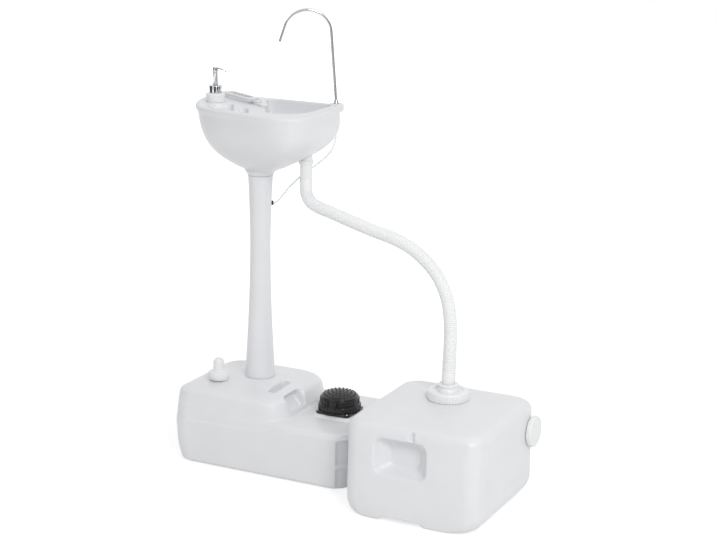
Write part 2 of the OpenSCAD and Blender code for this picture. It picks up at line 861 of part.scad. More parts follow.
// Ring of the basin: a share of the rim's outline, blended by b into a circle of radius r
function basin_ring(depth, share, b, r, n) = [
    for (i = [0:n - 1])
        let (p = basin_plan(360 * (i + 0.5) / n), q = unit(p) * r, m = (1 - b) * share * p + b * q)
            [m[0] + lean_at(depth), m[1], rim_h - depth]
];

neck_r = top_d / 2 + 1;
basin_points = 56;
basin_outer = concat(
    [basin_ring(basin_h, 0, 1, neck_r, basin_points), basin_ring(basin_h - 7, 0, 1, neck_r + 3, basin_points),
    basin_ring(basin_h - 14, 0.26, 0.6, neck_r + 10, basin_points)],
    [for (d = [170, 163, 154, 142, 128, 112, 94, 72, 48, 26]) basin_ring(d, body_share(d), 0, 0, basin_points)],
    [for (a = [0, 22.5, 45, 67.5, 90])
        basin_ring(rim_roll * (1 - sin(a)), 1 - rim_roll * (1 - cos(a)) / (basin_dep / 2), 0, 0, basin_points)]
);

inner_points = 40;
inner_share = 1 - basin_wall / (basin_dep / 2);
basin_inner = [
    for (d = [160, 152, 140, 124, 106, 82, 56, 30, 14, 7, basin_wall])
        basin_ring(d, body_share(d) * inner_share * (d < 10 ? 0.98 : 1), 0, 0, inner_points)
];

bowl_mid = [52, 50];
bowl_low = [98, 50];        // the floor of the bowl lies towards the drain
bowl_walls = [[0, 102], [90, 100], [208.4, 54.8], [276, 141], [307, 134]];  // direction and distance of each wall
bowl_sharp = 8;
lip = 3;                    // how far the bowl's edge flares

// Radius of the bowl's opening round its middle
function bowl_r(a) = walled(bowl_walls, bowl_sharp, a);

function bowl_share(d) = pow(1 - pow(d / (bowl_dep + 1), 2.4), 1 / 2.4);

function bowl_ring(depth, share, grow, n) =
    let (c = bowl_low + (bowl_mid - bowl_low) * share)
        [for (i = [0:n - 1])
            let (a = 360 * i / n, r = bowl_r(a) * share + grow)
                [c[0] + r * cos(a), c[1] + r * sin(a), rim_h - depth]];

module bowl() {
    loft(concat(
        [for (d = [bowl_dep, 117, 110, 98, 82, 62, 40, 20]) bowl_ring(d, bowl_share(d), 0, 44)],
        [bowl_ring(lip + 3, 1, 0, 44), bowl_ring(lip / 2, 1, lip * 0.3, 44), bowl_ring(0, 1, lip, 44),
        bowl_ring(-past, 1, lip + past, 44)]
    ));
}

module bowl_shell() {
    loft([
        for (d = [bowl_dep + 3, 112, 96, 74, 46, 20, -past])
            bowl_ring(d, d < 0 ? 1 : bowl_share(min(d, bowl_dep - 1)), basin_wall, 30)
    ]);
}

// Corners of the two pockets in the tray, and how much each corner is softened
pockets = [
    [[[-151, -26], [-102, -87], [-27, -103], [-93, 10]], [34, 30, 14, 16]],
    [[[-49, -32], [0, -113], [22, -109], [-20, -36]], [11, 9, 9, 10]]
];

module tray_pockets(w) {
    for (p = pockets)
        translate([0, 0, rim_h - pocket_dep - w])
            linear_extrude(pocket_dep + w + 20)
                offset(r = w)
                    polygon(softened(p[0], p[1]));
}

drain_seat = rim_h - bowl_dep + 2;
boss_r = drain_d / 2 + 4;
boss_z = rim_h - 146;
nut_seat_h = 20;    // height of the round seat cut for the nut into the body's underside
well_r = bottle_d / 2 + 1;
lug_z = rim_h - lug_h;
faucet_hole_r = faucet_d / 2 + 0.5;

module basin_body() {
    difference() {
        loft(basin_outer);
        difference() {
            loft(basin_inner);
            bowl_shell();
            tray_pockets(basin_wall);
            translate([drain_x, drain_y, boss_z])
                cylinder(r = boss_r, h = bowl_dep);
        }
    }
}

module basin() color(moulded)
    difference() {
        union() {
            basin_body();
            translate([drain_x, drain_y, boss_z])
                cylinder(r = boss_r, h = drain_seat - boss_z - 3);
            translate([faucet_x, faucet_y, lug_z])
                cylinder(r = lug_r, h = lug_h - 0.4);
        }
        bowl();
        tray_pockets(0);
        translate([drain_x, drain_y, boss_z - past])
            cylinder(r = drain_d / 2 + fit, h = 60);
        translate([drain_x, drain_y, boss_z - nut_seat_h])
            cylinder(r = boss_r + fit, h = nut_seat_h);
        translate([drain_x, drain_y, drain_seat])
            cylinder(r = drain_flange_d / 2 + fit, h = 20);
        translate([-soap_x, soap_y, rim_h - 20])
            cylinder(r = well_r, h = 20 + past);
        translate([0, 0, neck_h - past])
            cylinder(r = top_spigot_r + fit, h = spigot_dep + past);
        translate([faucet_x, faucet_y, lug_z - past])
            cylinder(r = faucet_hole_r, h = lug_h + 2 * past);
    }

// Drain: a flanged body with a strainer, a nut under the basin, and the tail that the hose meets

strainer_t = 2;
nut_h = 10;
nut_z = boss_z - gasket_t - nut_h;
drain_body_end = nut_z + 6;
tail_end = 803;

module drain_body() color(white)
    translate([drain_x, drain_y, 0])
        difference() {
            union() {
                translate([0, 0, drain_body_end])
                    cylinder(d = drain_d, h = drain_seat + 1 - drain_body_end);
                translate([0, 0, drain_seat])
                    cylinder(d1 = drain_flange_d, d2 = drain_flange_d - 4, h = 2);
            }
            translate([0, 0, drain_body_end - past])
                cylinder(d = drain_d - 2 * drain_wall, h = drain_seat - 2 - drain_body_end + past);
            translate([0, 0, drain_seat - 2 + strainer_t])
                cylinder(d1 = drain_d - 8, d2 = drain_d - 2, h = 4);
            for (i = [0:strainer_holes - 1])
                rotate([0, 0, 360 * i / strainer_holes])
                    translate([drain_d / 2 - 8, 0, drain_seat - 3])
                        cylinder(d = 4, h = strainer_t + 3, $fn = 24);
            translate([0, 0, drain_seat - 3])
                cylinder(d = 5, h = strainer_t + 3, $fn = 24);
        }

module drain_gasket() color(rubber)
    translate([drain_x, drain_y, boss_z - gasket_t])
        difference() {
            cylinder(r = boss_r - 1, h = gasket_t);
            translate([0, 0, -past])
                cylinder(d = drain_d + 2 * slip, h = gasket_t + 2 * past);
        }

module drain_nut() color(white)
    translate([drain_x, drain_y, nut_z])
        difference() {
            linear_extrude(nut_h)
                polygon(ribbed(boss_r - 2.3, 18, 0.8));
            translate([0, 0, 3])
                cylinder(d = drain_d + 2 * slip, h = nut_h);
            translate([0, 0, -past])
                cylinder(d = tail_d + 2 * slip, h = 6);
        }

module drain_tail() color(white)
    translate([drain_x, drain_y, tail_end])
        rotate_extrude()
            polygon([
                [hose_bore / 2, 0], [tail_d / 2, 0], [tail_d / 2, nut_z + 3 + slip - tail_end],
                [drain_d / 2 - slip, nut_z + 3 + slip - tail_end], [drain_d / 2 - slip, drain_body_end - slip - tail_end],
                [hose_bore / 2, drain_body_end - slip - tail_end]
            ]);

// Drain hose, from the tail to the connector on the waste tank

connector_top = 314 - fit;
hose_route = [
    [115, 53, 803], [115, 53, 786], [115, 53, 769], [122, 52, 749], [139, 48, 734], [168, 42, 725],
    [208, 33, 718], [276, 19, 704], [351, 3, 690], [419, -11, 679], [474, -22, 662], [523, -33, 635],
    [564, -42, 598], [592, -48, 549], [604, -50, 499], [608, -51, 448], [608, -52, 396], [607, -52, 350],
    [606, -52, 332], [606, -52, 314]
];
hose_curve = through(hose_route, 8);
hose_runs = run(hose_curve);
hose_len = hose_runs[len(hose_runs) - 1];
rib_pitch = (hose_len - 2 * cuff_len) / ribs;
rib_places = concat(
    [0], [for (i = [0:ribs - 1]) each [cuff_len + rib_pitch * (i + 0.25), cuff_len + rib_pitch * (i + 0.75)]], [hose_len]
);
rib_radii = concat(
    [hose_d / 2], [for (i = [0:ribs - 1]) each [hose_d / 2, hose_d / 2 - rib_dep]], [hose_d / 2]
);
rib_points = points_at(hose_curve, rib_places);
bore_points = points_at(hose_curve, [for (i = [0:40]) hose_len * i / 40]);

echo(hose_length = hose_len);
echo(hose_least_gap = least_gap(bore_points, hose_d / 2, 5));
echo(spring_least_gap = least_gap(spring_path, wire_r, 6));

module drain_hose() color(white)
    pipe(
        rings_along(rib_points, rib_radii, 8, [1, 0, 0]),
        rings_along(bore_points, [for (p = bore_points) hose_bore / 2], 8, [1, 0, 0])
    );

// Supply tube, from under the faucet down behind the basin to the grommet

supply_route = [
    [148, 167, 950], [148, 167, 938], [148, 167, 922], [148, 167, 905], [145, 165, 885], [137, 160, 865],
    [122, 152, 845], [100, 140, 824], [79, 124, 805], [62, 105, 787], [50, 80, 768], [43, 56, 750],
    [39, 38, 738], [36, 24.6, 732], [34.5, 20.7, 730], [31.8, 19.1, 730]
];

module supply_tube() color(clear_tube)
    rod(through(supply_route, 2), tube_d / 2, 8, [0, 1, 0]);

// Faucet: a bent tube that swings in the lug, with a foot above and a nut and a barb below

faucet_turn = 210.4;
foot_h = 10;
faucet_lean = 4.6;
faucet_top = faucet_rise * [sin(faucet_lean), cos(faucet_lean)];
bend_mid = faucet_top + faucet_bend * [cos(faucet_lean), -sin(faucet_lean)];
bend_left = 18;     // how far the bend stops short of straight down
bend_steps = 12;
drop_dir = [sin(bend_left), -cos(bend_left)];
bend_stop = bend_mid + faucet_bend * [cos(bend_left), sin(bend_left)];
faucet_side = concat(
    [[0, -lug_h], [0, 0], [0, foot_h]],
    [for (i = [1:6]) faucet_top * i / 6],
    [for (i = [1:bend_steps])
        let (a = 180 - faucet_lean - (180 - faucet_lean - bend_left) * i / bend_steps)
            bend_mid + faucet_bend * [cos(a), sin(a)]],
    [bend_stop + faucet_drop * drop_dir]
);
faucet_path = [for (p = faucet_side) [p[0] * cos(faucet_turn), p[0] * sin(faucet_turn), p[1]]];

module faucet_tube() color(chrome)
    translate([faucet_x, faucet_y, rim_h])
        pipe(
            rings_along(faucet_path, [for (p = faucet_path) faucet_d / 2], 12, [0, 1, 0]),
            rings_along(faucet_path, [for (p = faucet_path) faucet_bore / 2], 12, [0, 1, 0])
        );

module faucet_foot() color(chrome)
    translate([faucet_x, faucet_y, rim_h - 0.4])
        rotate_extrude()
            polygon([[faucet_d / 2 + slip, 0], [8, 0], [8, 2], [6, 5], [5.4, foot_h], [faucet_d / 2 + slip, foot_h]]);

module faucet_nut() color(white)
    translate([faucet_x, faucet_y, lug_z - 8 - fit])
        difference() {
            linear_extrude(8)
                polygon([for (a = [0:60:300]) 9 * [cos(a), sin(a)]]);
            translate([0, 0, -past])
                cylinder(r = faucet_d / 2 + slip, h = 8 + 2 * past);
        }

barb_end = 950;

module faucet_barb() color(white)
    translate([faucet_x, faucet_y, 0])
        rotate_extrude()
            polygon([
                [1.5, barb_end], [tube_d / 2, barb_end], [tube_d / 2 + 1, barb_end + 4], [tube_d / 2 + 1, barb_end + 6],
                [6, barb_end + 6], [6, lug_z - 8 - 2 * fit], [1.5, lug_z - 8 - 2 * fit]
            ]);

// Soap dispenser: a bottle that hangs in the tray by its cap, with a push head

collar_z = rim_h + soap_cap_h;
head_low = collar_z + collar_h - 5;      // the head's column reaches down into the collar
head_len = 56;
column_r = head_d / 2 - 0.6;
stem_r = 4;
chamber_len = 52;
bottle_neck_r = 15;

module soap_bottle() color(white)
    translate([-soap_x, soap_y, rim_h - 2])
        rotate_extrude()
            polygon([
                [0, -bottle_h], [bottle_d / 2 - 4, -bottle_h], [bottle_d / 2 - 1, -bottle_h + 1.5],
                [bottle_d / 2, -bottle_h + 5], [bottle_d / 2, -4], [bottle_neck_r, 0], [bottle_neck_r, 10],
                [bottle_neck_r - 2, 10], [bottle_neck_r - 2, -2], [bottle_d / 2 - 2, -6],
                [bottle_d / 2 - 2, -bottle_h + 5], [bottle_d / 2 - 5, -bottle_h + 2], [0, -bottle_h + 2]
            ]);

module soap_cap() color(white)
    translate([-soap_x, soap_y, rim_h])
        difference() {
            rotate_extrude()
                polygon([
                    [0, 0], [soap_cap_d / 2 - 0.6, 0], [soap_cap_d / 2, 0.8], [soap_cap_d / 2, soap_cap_h - 3],
                    [soap_cap_d / 2 - 1, soap_cap_h - 1], [soap_cap_d / 2 - 3, soap_cap_h], [0, soap_cap_h]
                ]);
            translate([0, 0, -past])
                cylinder(r = bottle_neck_r + slip, h = past + 8 + fit);
            translate([0, 0, -past])
                cylinder(r = 9, h = soap_cap_h + 2 * past);
        }

module soap_collar() color(chrome)
    translate([-soap_x, soap_y, collar_z])
        rotate_extrude()
            polygon([
                [column_r + 0.4, collar_h - 3], [9.5, collar_h - 5], [9.5, 0], [collar_d / 2 - 0.5, 0],
                [collar_d / 2, 0.6], [collar_d / 2, collar_h - 1.5], [collar_d / 2 - 1.5, collar_h],
                [column_r + 0.4, collar_h]
            ]);

module soap_cylinder() color(white)
    translate([-soap_x, soap_y, collar_z - chamber_len])
        rotate_extrude()
            polygon([
                [2, 0], [8.5, 0], [8.5, chamber_len + 4], [6.5, chamber_len + 4], [6.5, 3], [2, 3]
            ]);

module soap_dip_tube() color(clear_tube)
    translate([-soap_x, soap_y, rim_h - bottle_h + 6])
        difference() {
            cylinder(r = 3, h = collar_z - chamber_len - rim_h + bottle_h - 6);
            translate([0, 0, -past])
                cylinder(r = 1.8, h = bottle_h);
        }

soap_spring_z = collar_z - chamber_len + 3 + 0.7;
stem_low = collar_z - 13.5;     // stays above the tray when the head is pushed down
soap_spring_turns = 6;
soap_spring_path = [
    for (i = [0:8 * soap_spring_turns])
        let (a = 45 * i, h = stem_low - 0.7 - soap_spring_z)
            [-soap_x + 5 * cos(a), soap_y + 5 * sin(a), soap_spring_z + h * i / (8 * soap_spring_turns)]
];

module soap_spring() color(chrome)
    rod(soap_spring_path, 0.6, 6, [0, 0, 1]);

spout_turn = 26;
spout_side = [[2, -5], [head_d / 2 + 2, -5], [15, -6], [21, -8], [26, -11], [29, -14.5]];

module soap_head() color(chrome)
    translate([-soap_x, soap_y, 0]) {
        translate([0, 0, stem_low])
            cylinder(r = stem_r, h = head_low + 2 - stem_low);
        translate([0, 0, stem_low])
            cylinder(r = 6.5 - slip, h = 5);
        translate([0, 0, head_low])
            rotate_extrude()
                polygon([
                    [0, 0], [column_r - 0.6, 0], [column_r, 0.6], [column_r, head_len - 13],
                    [head_d / 2, head_len - 10], [head_d / 2, head_len - 2], [head_d / 2 - 1.5, head_len], [0, head_len]
                ]);
        translate([0, 0, head_low + head_len])
            rotate([0, 0, spout_turn])
                rod([for (p = spout_side) [p[0], 0, p[1]]], 1.8, 10, [0, 1, 0]);
    }

// Towel arm: a flat loop over the tray that swings out on a pin in its bracket

arm_z = rim_h + 6;
arm_pin = [-32, 38];
arm_turn = 149;
bracket_turn = -37;
bracket_len = 70;
bracket_w = 22;

module towel_bracket() color(moulded)
    translate([arm_pin[0], arm_pin[1], rim_h])
        difference() {
            rotate([0, 0, bracket_turn])
                translate([bracket_len / 2 - bracket_w / 2, 0, 0])
                    linear_extrude(arm_z - rim_h - fit)
                        polygon(pill(bracket_len, bracket_w, bracket_w / 2 - 1));
            translate([0, 0, -past])
                cylinder(d = pin_d, h = arm_z - rim_h + 2 * past);
        }

module towel_arm() color(moulded)
    translate([arm_pin[0], arm_pin[1], arm_z])
        rotate([0, 0, arm_turn])
            difference() {
                union() {
                    cylinder(r = bracket_w / 2, h = arm_t);
                    linear_extrude(arm_t)
                        polygon([
                            [0, -bracket_w / 2], [30, -arm_w / 2], [arm_len - 14, -arm_w / 2], [arm_len - 5, -arm_w / 2 + 5],
                            [arm_len, -arm_w / 2 + 14], [arm_len, arm_w / 2 - 14], [arm_len - 5, arm_w / 2 - 5],
                            [arm_len - 14, arm_w / 2], [30, arm_w / 2], [0, bracket_w / 2]
                        ]);
                }
                translate([(arm_len + 28) / 2, 0, -past])
                    linear_extrude(arm_t + 2 * past)
                        polygon(pill(arm_len - 28 - 2 * arm_bar, arm_w - 2 * arm_bar, 8));
                translate([0, 0, -past])
                    cylinder(d = pin_d + 2 * slip, h = arm_t + 2 * past);
            }

module towel_pin() color(chrome)
    translate([arm_pin[0], arm_pin[1], rim_h]) {
        cylinder(d = pin_d, h = arm_z - rim_h + arm_t + fit);
        translate([0, 0, arm_z - rim_h + arm_t + fit])
            cylinder(d1 = pin_d + 6, d2 = pin_d + 2, h = 3);
    }

// Waste tank: a soft cornered can with two feet, a grip in its front, a top neck and an end neck

waste_right = waste_x + waste_len;
waste_back = waste_dep - waste_front;
waste_edge = 50;
top_edge = 28;
low_shares = [0.34, 0.9, 0.05];     // inset of the lower edge at the left and behind, at the right, and in front

// Ring of the waste tank: height, inset, wall, shares of the inset, and how far the corners open
function waste_ring_at(z, inset, w, shares = [1, 1, 1], open = 0) =
    round_rect(
        waste_x + shares[0] * inset + w, waste_right - shares[1] * inset - w,
        -waste_front + shares[2] * inset + w, waste_back - shares[0] * inset - w,
        waste_corner + open - w, z
    );

function waste_rings(w) = concat(
    [for (a = [0, 22.5, 45, 67.5, 90])
        waste_ring_at(w + (w > 0 ? arch_h : 0) + waste_edge * (1 - cos(a)), waste_edge * (1 - sin(a)), w,
            low_shares, 0.6 * waste_edge * (1 - sin(a)))],
    [for (a = [0, 22.5, 45, 67.5])
        waste_ring_at(waste_h - 6 - w - top_edge * (1 - sin(a)), 2 + top_edge * (1 - cos(a)), w)],
    [waste_ring_at(waste_h - 4 - w, 48, w), waste_ring_at(waste_h - w, 108, w)]
);

foot_gap = [526, 655];      // left and right ends of the arch between the feet
grip_x = 585;
grip_z = 177;
grip_steps = [[0, 86, 66], [20, 130, 88], [grip_dep, 150, 100], [grip_dep + 20, 160, 108]];    // from its floor out
cap_x = 606;
cap_y = -52;
ring_z = waste_h + 0.5;
waste_neck_r = ring_d / 2 - 9;
waste_bore_r = waste_neck_r - neck_bore_wall - 2;
waste_neck_top = ring_z + ring_h - 8;
end_y = 60;
end_z = 178;
end_neck_r = end_cap_d / 2 - 7;
end_bore_r = end_neck_r - neck_bore_wall;
end_neck_len = 10.7;

// Scooped grip in the front, grown by w for the wall round it
module front_grip(w) {
    translate([grip_x, grip_dep - waste_front, grip_z])
        rotate([90, 0, 0])
            loft([
                for (g = grip_steps)
                    round_rect(-g[1] / 2 - w, g[1] / 2 + w, -g[2] / 2 - w, g[2] / 2 + w, 20 + w, g[0] - w, 6)
            ]);
}

module waste_tank() color(moulded)
    difference() {
        union() {
            difference() {
                loft(waste_rings(0));
                difference() {
                    loft(waste_rings(tank_wall));
                    front_grip(tank_wall);
                }
                front_grip(0);
                translate([0, waste_back + past, -past])
                    rotate([90, 0, 0])
                        linear_extrude(waste_dep + 2 * past)
                            polygon([
                                [foot_gap[0], 0], [foot_gap[0] + 12, arch_h + past], [foot_gap[1] - 12, arch_h + past],
                                [foot_gap[1], 0]
                            ]);
            }
            translate([cap_x, cap_y, waste_h - 16])
                cylinder(r = waste_neck_r, h = waste_neck_top - waste_h + 16);
            translate([waste_right - 16, end_y, end_z])
                rotate([0, 90, 0])
                    cylinder(r = end_neck_r, h = end_neck_len + 16);
        }
        translate([cap_x, cap_y, waste_h - 40])
            cylinder(r = waste_bore_r, h = 80);
        translate([waste_right - 40, end_y, end_z])
            rotate([0, 90, 0])
                cylinder(r = end_bore_r, h = 80);
    }

module waste_gasket() color(rubber)
    translate([cap_x, cap_y, waste_neck_top])
        difference() {
            cylinder(r = waste_neck_r - 1, h = gasket_t);
            translate([0, 0, -past])
                cylinder(r = waste_bore_r + 1, h = gasket_t + 2 * past);
        }

plate_t = 3;
ring_top = ring_z + ring_h;

module waste_ring() color(white)
    translate([cap_x, cap_y, ring_z])
        difference() {
            union() {
                linear_extrude(ring_h - 3)
                    polygon(ribbed(ring_d / 2 - 1.5, cap_ribs, 1.5));
                translate([0, 0, ring_h - 3])
                    cylinder(d1 = ring_d - 3, d2 = ring_d - 12, h = 3);
            }
            translate([0, 0, -past])
                cylinder(r = waste_neck_r + fit, h = waste_neck_top + gasket_t + plate_t + fit - ring_z + past);
            translate([0, 0, -past])
                cylinder(d = connector_d + 2 * fit, h = ring_h + 2 * past);
        }

module hose_connector() color(white)
    translate([cap_x, cap_y, waste_neck_top + gasket_t])
        rotate_extrude()
            polygon([
                [hose_bore / 2 - 1, -18], [hose_bore / 2 + 3, -18], [hose_bore / 2 + 3, 0], [waste_neck_r - 1, 0],
                [waste_neck_r - 1, plate_t], [connector_d / 2, plate_t],
                [connector_d / 2, connector_top - 8 - waste_neck_top - gasket_t],
                [connector_d / 2 - 6, connector_top - 3 - waste_neck_top - gasket_t],
                [hose_d / 2 + 2, connector_top - waste_neck_top - gasket_t],
                [hose_bore / 2 - 1, connector_top - waste_neck_top - gasket_t]
            ]);

end_neck_end = waste_right + end_neck_len;

module end_cap() color(white)
    translate([end_neck_end + gasket_t + fit - end_cap_h + 4, end_y, end_z])
        rotate([0, 90, 0])
            difference() {
                union() {
                    linear_extrude(end_cap_h - 3)
                        polygon(ribbed(end_cap_d / 2 - 1.2, cap_ribs, 1.2));
                    translate([0, 0, end_cap_h - 3])
                        cylinder(d1 = end_cap_d - 2.4, d2 = end_cap_d - 10, h = 3);
                }
                translate([0, 0, -past])
                    cylinder(r = end_neck_r + fit, h = end_cap_h - 4 + past);
            }

module end_gasket() color(rubber)
    translate([end_neck_end, end_y, end_z])
        rotate([0, 90, 0])
            difference() {
                cylinder(r = end_neck_r, h = gasket_t);
                translate([0, 0, -past])
                    cylinder(r = end_bore_r, h = gasket_t + 2 * past);
            }

base_tank();
fill_cap();
fill_gasket();
pump_gasket();
pump_flange();
pump_screws();
pump_valve_body();
valve_flaps();
pump_spring();
pump_bellows();
pump_crown();
suction_tube();
suction_strainer();
delivery_tube();
tube_seal();
pedestal();
tube_grommet();
basin();
drain_body();
drain_gasket();
drain_nut();
drain_tail();
drain_hose();
supply_tube();
faucet_tube();
faucet_foot();
faucet_nut();
faucet_barb();
soap_bottle();
soap_cap();
soap_collar();
soap_cylinder();
soap_dip_tube();
soap_spring();
soap_head();
towel_bracket();
towel_arm();
towel_pin();
waste_tank();
waste_gasket();
waste_ring();
hose_connector();
end_cap();
end_gasket();
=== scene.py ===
import json
import math
import bpy
import bmesh
import numpy as np
from mathutils import Matrix, Vector


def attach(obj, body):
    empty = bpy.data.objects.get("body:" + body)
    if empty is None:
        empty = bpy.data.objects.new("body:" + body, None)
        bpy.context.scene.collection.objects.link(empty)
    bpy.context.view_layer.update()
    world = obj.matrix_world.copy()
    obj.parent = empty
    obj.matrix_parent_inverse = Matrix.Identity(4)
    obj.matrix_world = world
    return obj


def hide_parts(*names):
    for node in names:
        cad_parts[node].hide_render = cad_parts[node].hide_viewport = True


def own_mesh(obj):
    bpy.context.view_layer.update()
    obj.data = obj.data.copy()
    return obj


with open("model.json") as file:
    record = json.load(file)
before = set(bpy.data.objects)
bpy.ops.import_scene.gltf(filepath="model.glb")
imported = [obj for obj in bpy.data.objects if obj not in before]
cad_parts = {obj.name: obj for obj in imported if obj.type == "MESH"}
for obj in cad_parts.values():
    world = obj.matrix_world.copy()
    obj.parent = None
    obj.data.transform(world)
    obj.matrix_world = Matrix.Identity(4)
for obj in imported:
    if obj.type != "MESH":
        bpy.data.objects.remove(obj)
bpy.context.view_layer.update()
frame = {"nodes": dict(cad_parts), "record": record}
nodes = frame["nodes"]
mm = 0.001
tau = 2 * math.pi


# camera and light

camera = {
    "place": (2.3353, -4.1239, 1.7472),
    "forward": (-0.4278, 0.8695, -0.247),
    "roll": 0.93,           # degrees
    "lens": 87.24,
}
light = {
    "world": [              # light from all around: strength and the way it comes from
        (0.4, (0, 0, 0)), (0.44, (0, 0, 1)), (0.18, (0, 1, 0))],
    "lamps": {              # power, size and place
        "key": (100.0, 1.5, (3.6, -3.4, 3.4)),
    },
    "lampTarget": (0.25, 0, 0.5),
    "floorGlow": 1.35,      # the floor's own white, for the camera and for reflections
    "floorShare": 0.5,      # share of it near the object, the rest shows the shadow
    "clearFrom": 1.1,       # distance from the middle where the floor starts to turn plain white
    "clearTo": 1.9,
    "middle": (0.3, -0.05, 0),
    # dark cards round the object, seen in its gloss alone: direction, width of each in degrees
    "cards": [(-152, 48), (-76, 36), (-24, 30), (20, 24)],
    "cardDistance": 3.3, "cardTop": 2.7, "cardMiddle": 0.25,
}


def makeCamera():
    forward = Vector(camera["forward"]).normalized()
    side = forward.cross(Vector((0, 0, 1))).normalized()
    up = side.cross(forward)
    roll = math.radians(camera["roll"])
    x = side * math.cos(roll) + up * math.sin(roll)
    y = up * math.cos(roll) - side * math.sin(roll)
    cam = bpy.data.cameras.new("camera")
    cam.lens = camera["lens"]
    cam.sensor_width = 36
    cam.clip_start = 0.05
    cam.clip_end = 100
    holder = bpy.data.objects.new("camera", cam)
    bpy.context.collection.objects.link(holder)
    turn = Matrix((x, y, -forward)).transposed().to_4x4()
    holder.matrix_world = Matrix.Translation(camera["place"]) @ turn
    bpy.context.scene.camera = holder


makeCamera()
print("camera placed")


# materials

def addNode(tree, kind, inputs=None, **settings):
    # new node with its settings; each input gets a value or a link
    n = tree.nodes.new(kind)
    for key, value in settings.items():
        setattr(n, key, value)
    for key, value in (inputs or {}).items():
        if isinstance(value, bpy.types.NodeSocket):
            tree.links.new(value, n.inputs[key])
        else:
            n.inputs[key].default_value = value
    return n


def mathNode(tree, operation, *values, clamp=False):
    n = addNode(tree, "ShaderNodeMath", dict(enumerate(values)), operation=operation, use_clamp=clamp)
    return n.outputs[0]


def nodeTree(name):
    m = bpy.data.materials.new(name)
    m.use_nodes = True
    tree = m.node_tree
    tree.nodes.clear()
    shader = addNode(tree, "ShaderNodeBsdfPrincipled")
    addNode(tree, "ShaderNodeOutputMaterial", {"Surface": shader.outputs[0]})
    return m, tree, shader


def noise(tree, scale, detail=3, rough=0.5):
    place = addNode(tree, "ShaderNodeTexCoord").outputs["Object"]
    n = addNode(tree, "ShaderNodeTexNoise", {
        "Scale": scale, "Detail": detail, "Roughness": rough, "Vector": place})
    return n.outputs["Fac"]


def spread(tree, value, low, high, start=0.3, stop=0.7):
    r = addNode(tree, "ShaderNodeMapRange", {
        "From Min": start, "From Max": stop, "To Min": low, "To Max": high, "Value": value})
    return r.outputs["Result"]


def blendColours(tree, value, first, second):
    m = addNode(tree, "ShaderNodeMix", {0: value, 6: (*first, 1), 7: (*second, 1)}, data_type="RGBA")
    return m.outputs[2]


def bumpOf(tree, shader, heights, strength=0.3, depth=0.0002):
    b = addNode(tree, "ShaderNodeBump", {"Strength": strength, "Distance": depth, "Height": heights})
    tree.links.new(b.outputs["Normal"], shader.inputs["Normal"])


finishes = {
    "moulded": {
        "light": (0.815, 0.82, 0.84), "dark": (0.788, 0.793, 0.812),
        "rough": (0.3, 0.42), "grain": 850, "bump": 0.1},
    "white": {
        "light": (0.875, 0.88, 0.885), "dark": (0.85, 0.855, 0.86),
        "rough": (0.28, 0.4), "grain": 1100, "bump": 0.06},
    "white_hose": {
        "light": (0.9, 0.904, 0.91), "dark": (0.885, 0.89, 0.895),
        "rough": (0.4, 0.5), "grain": 700, "bump": 0.03},
    "rubber": {
        "light": (0.014, 0.014, 0.015), "dark": (0.009, 0.009, 0.01),
        "rough": (0.12, 0.2), "grain": 1400, "bump": 0.06},
    "black": {
        "light": (0.016, 0.016, 0.017), "dark": (0.01, 0.01, 0.011),
        "rough": (0.18, 0.3), "grain": 900, "bump": 0.06},
}


def plastic(name, f):
    m, tree, shader = nodeTree(name)
    cloud = noise(tree, 9, 4)
    tone = blendColours(tree, spread(tree, cloud, 0, 1), f["dark"], f["light"])
    tree.links.new(tone, shader.inputs["Base Color"])
    tree.links.new(spread(tree, noise(tree, 38, 5, 0.6), *f["rough"]), shader.inputs["Roughness"])
    bumpOf(tree, shader, noise(tree, f["grain"], 2), f["bump"])
    shader.inputs["IOR"].default_value = 1.5
    return m


def metal(name, colour, low, high, grain, bump):
    m, tree, shader = nodeTree(name)
    shader.inputs["Metallic"].default_value = 1
    tint = noise(tree, 60, 4)
    darker = tuple(0.93 * c for c in colour)
    tree.links.new(blendColours(tree, spread(tree, tint, 0, 1), darker, colour), shader.inputs["Base Color"])
    tree.links.new(spread(tree, noise(tree, 140, 4), low, high), shader.inputs["Roughness"])
    bumpOf(tree, shader, noise(tree, grain, 2), bump, 0.00005)
    return m


def clearPlastic(name):
    m, tree, shader = nodeTree(name)
    tree.links.new(
        blendColours(tree, spread(tree, noise(tree, 30, 3), 0, 1), (0.86, 0.88, 0.885), (0.93, 0.945, 0.95)),
        shader.inputs["Base Color"])
    tree.links.new(spread(tree, noise(tree, 90, 3), 0.18, 0.3), shader.inputs["Roughness"])
    shader.inputs["Transmission Weight"].default_value = 0.55
    shader.inputs["IOR"].default_value = 1.4
    bumpOf(tree, shader, noise(tree, 500, 2), 0.08)
    return m


materials = {name: plastic(name, f) for name, f in finishes.items()}
materials["steel"] = metal("steel", (0.56, 0.56, 0.57), 0.2, 0.34, 700, 0.1)
materials["chrome"] = metal("chrome", (0.66, 0.665, 0.675), 0.07, 0.13, 1200, 0.02)
materials["clear_tube"] = clearPlastic("clear_tube")

# every solid gets its slot's material, and two seals a pale one
for entry in frame["record"]["subparts"]:
    piece = nodes[entry["node"]]
    piece.data.materials.clear()
    pale = entry["node"] in ("drain_gasket", "tube_seal")
    piece.data.materials.append(materials["white" if pale else entry["material_slot"]])
print("materials ready")


# shapes

def curvePoint(a, b, c, d, u):
    # point between b and c on the smooth curve through all four
    square = 2 * a - 5 * b + 4 * c - d
    cube = 3 * b - a - 3 * c + d
    return 0.5 * (2 * b + (c - a) * u + square * u * u + cube * u ** 3)


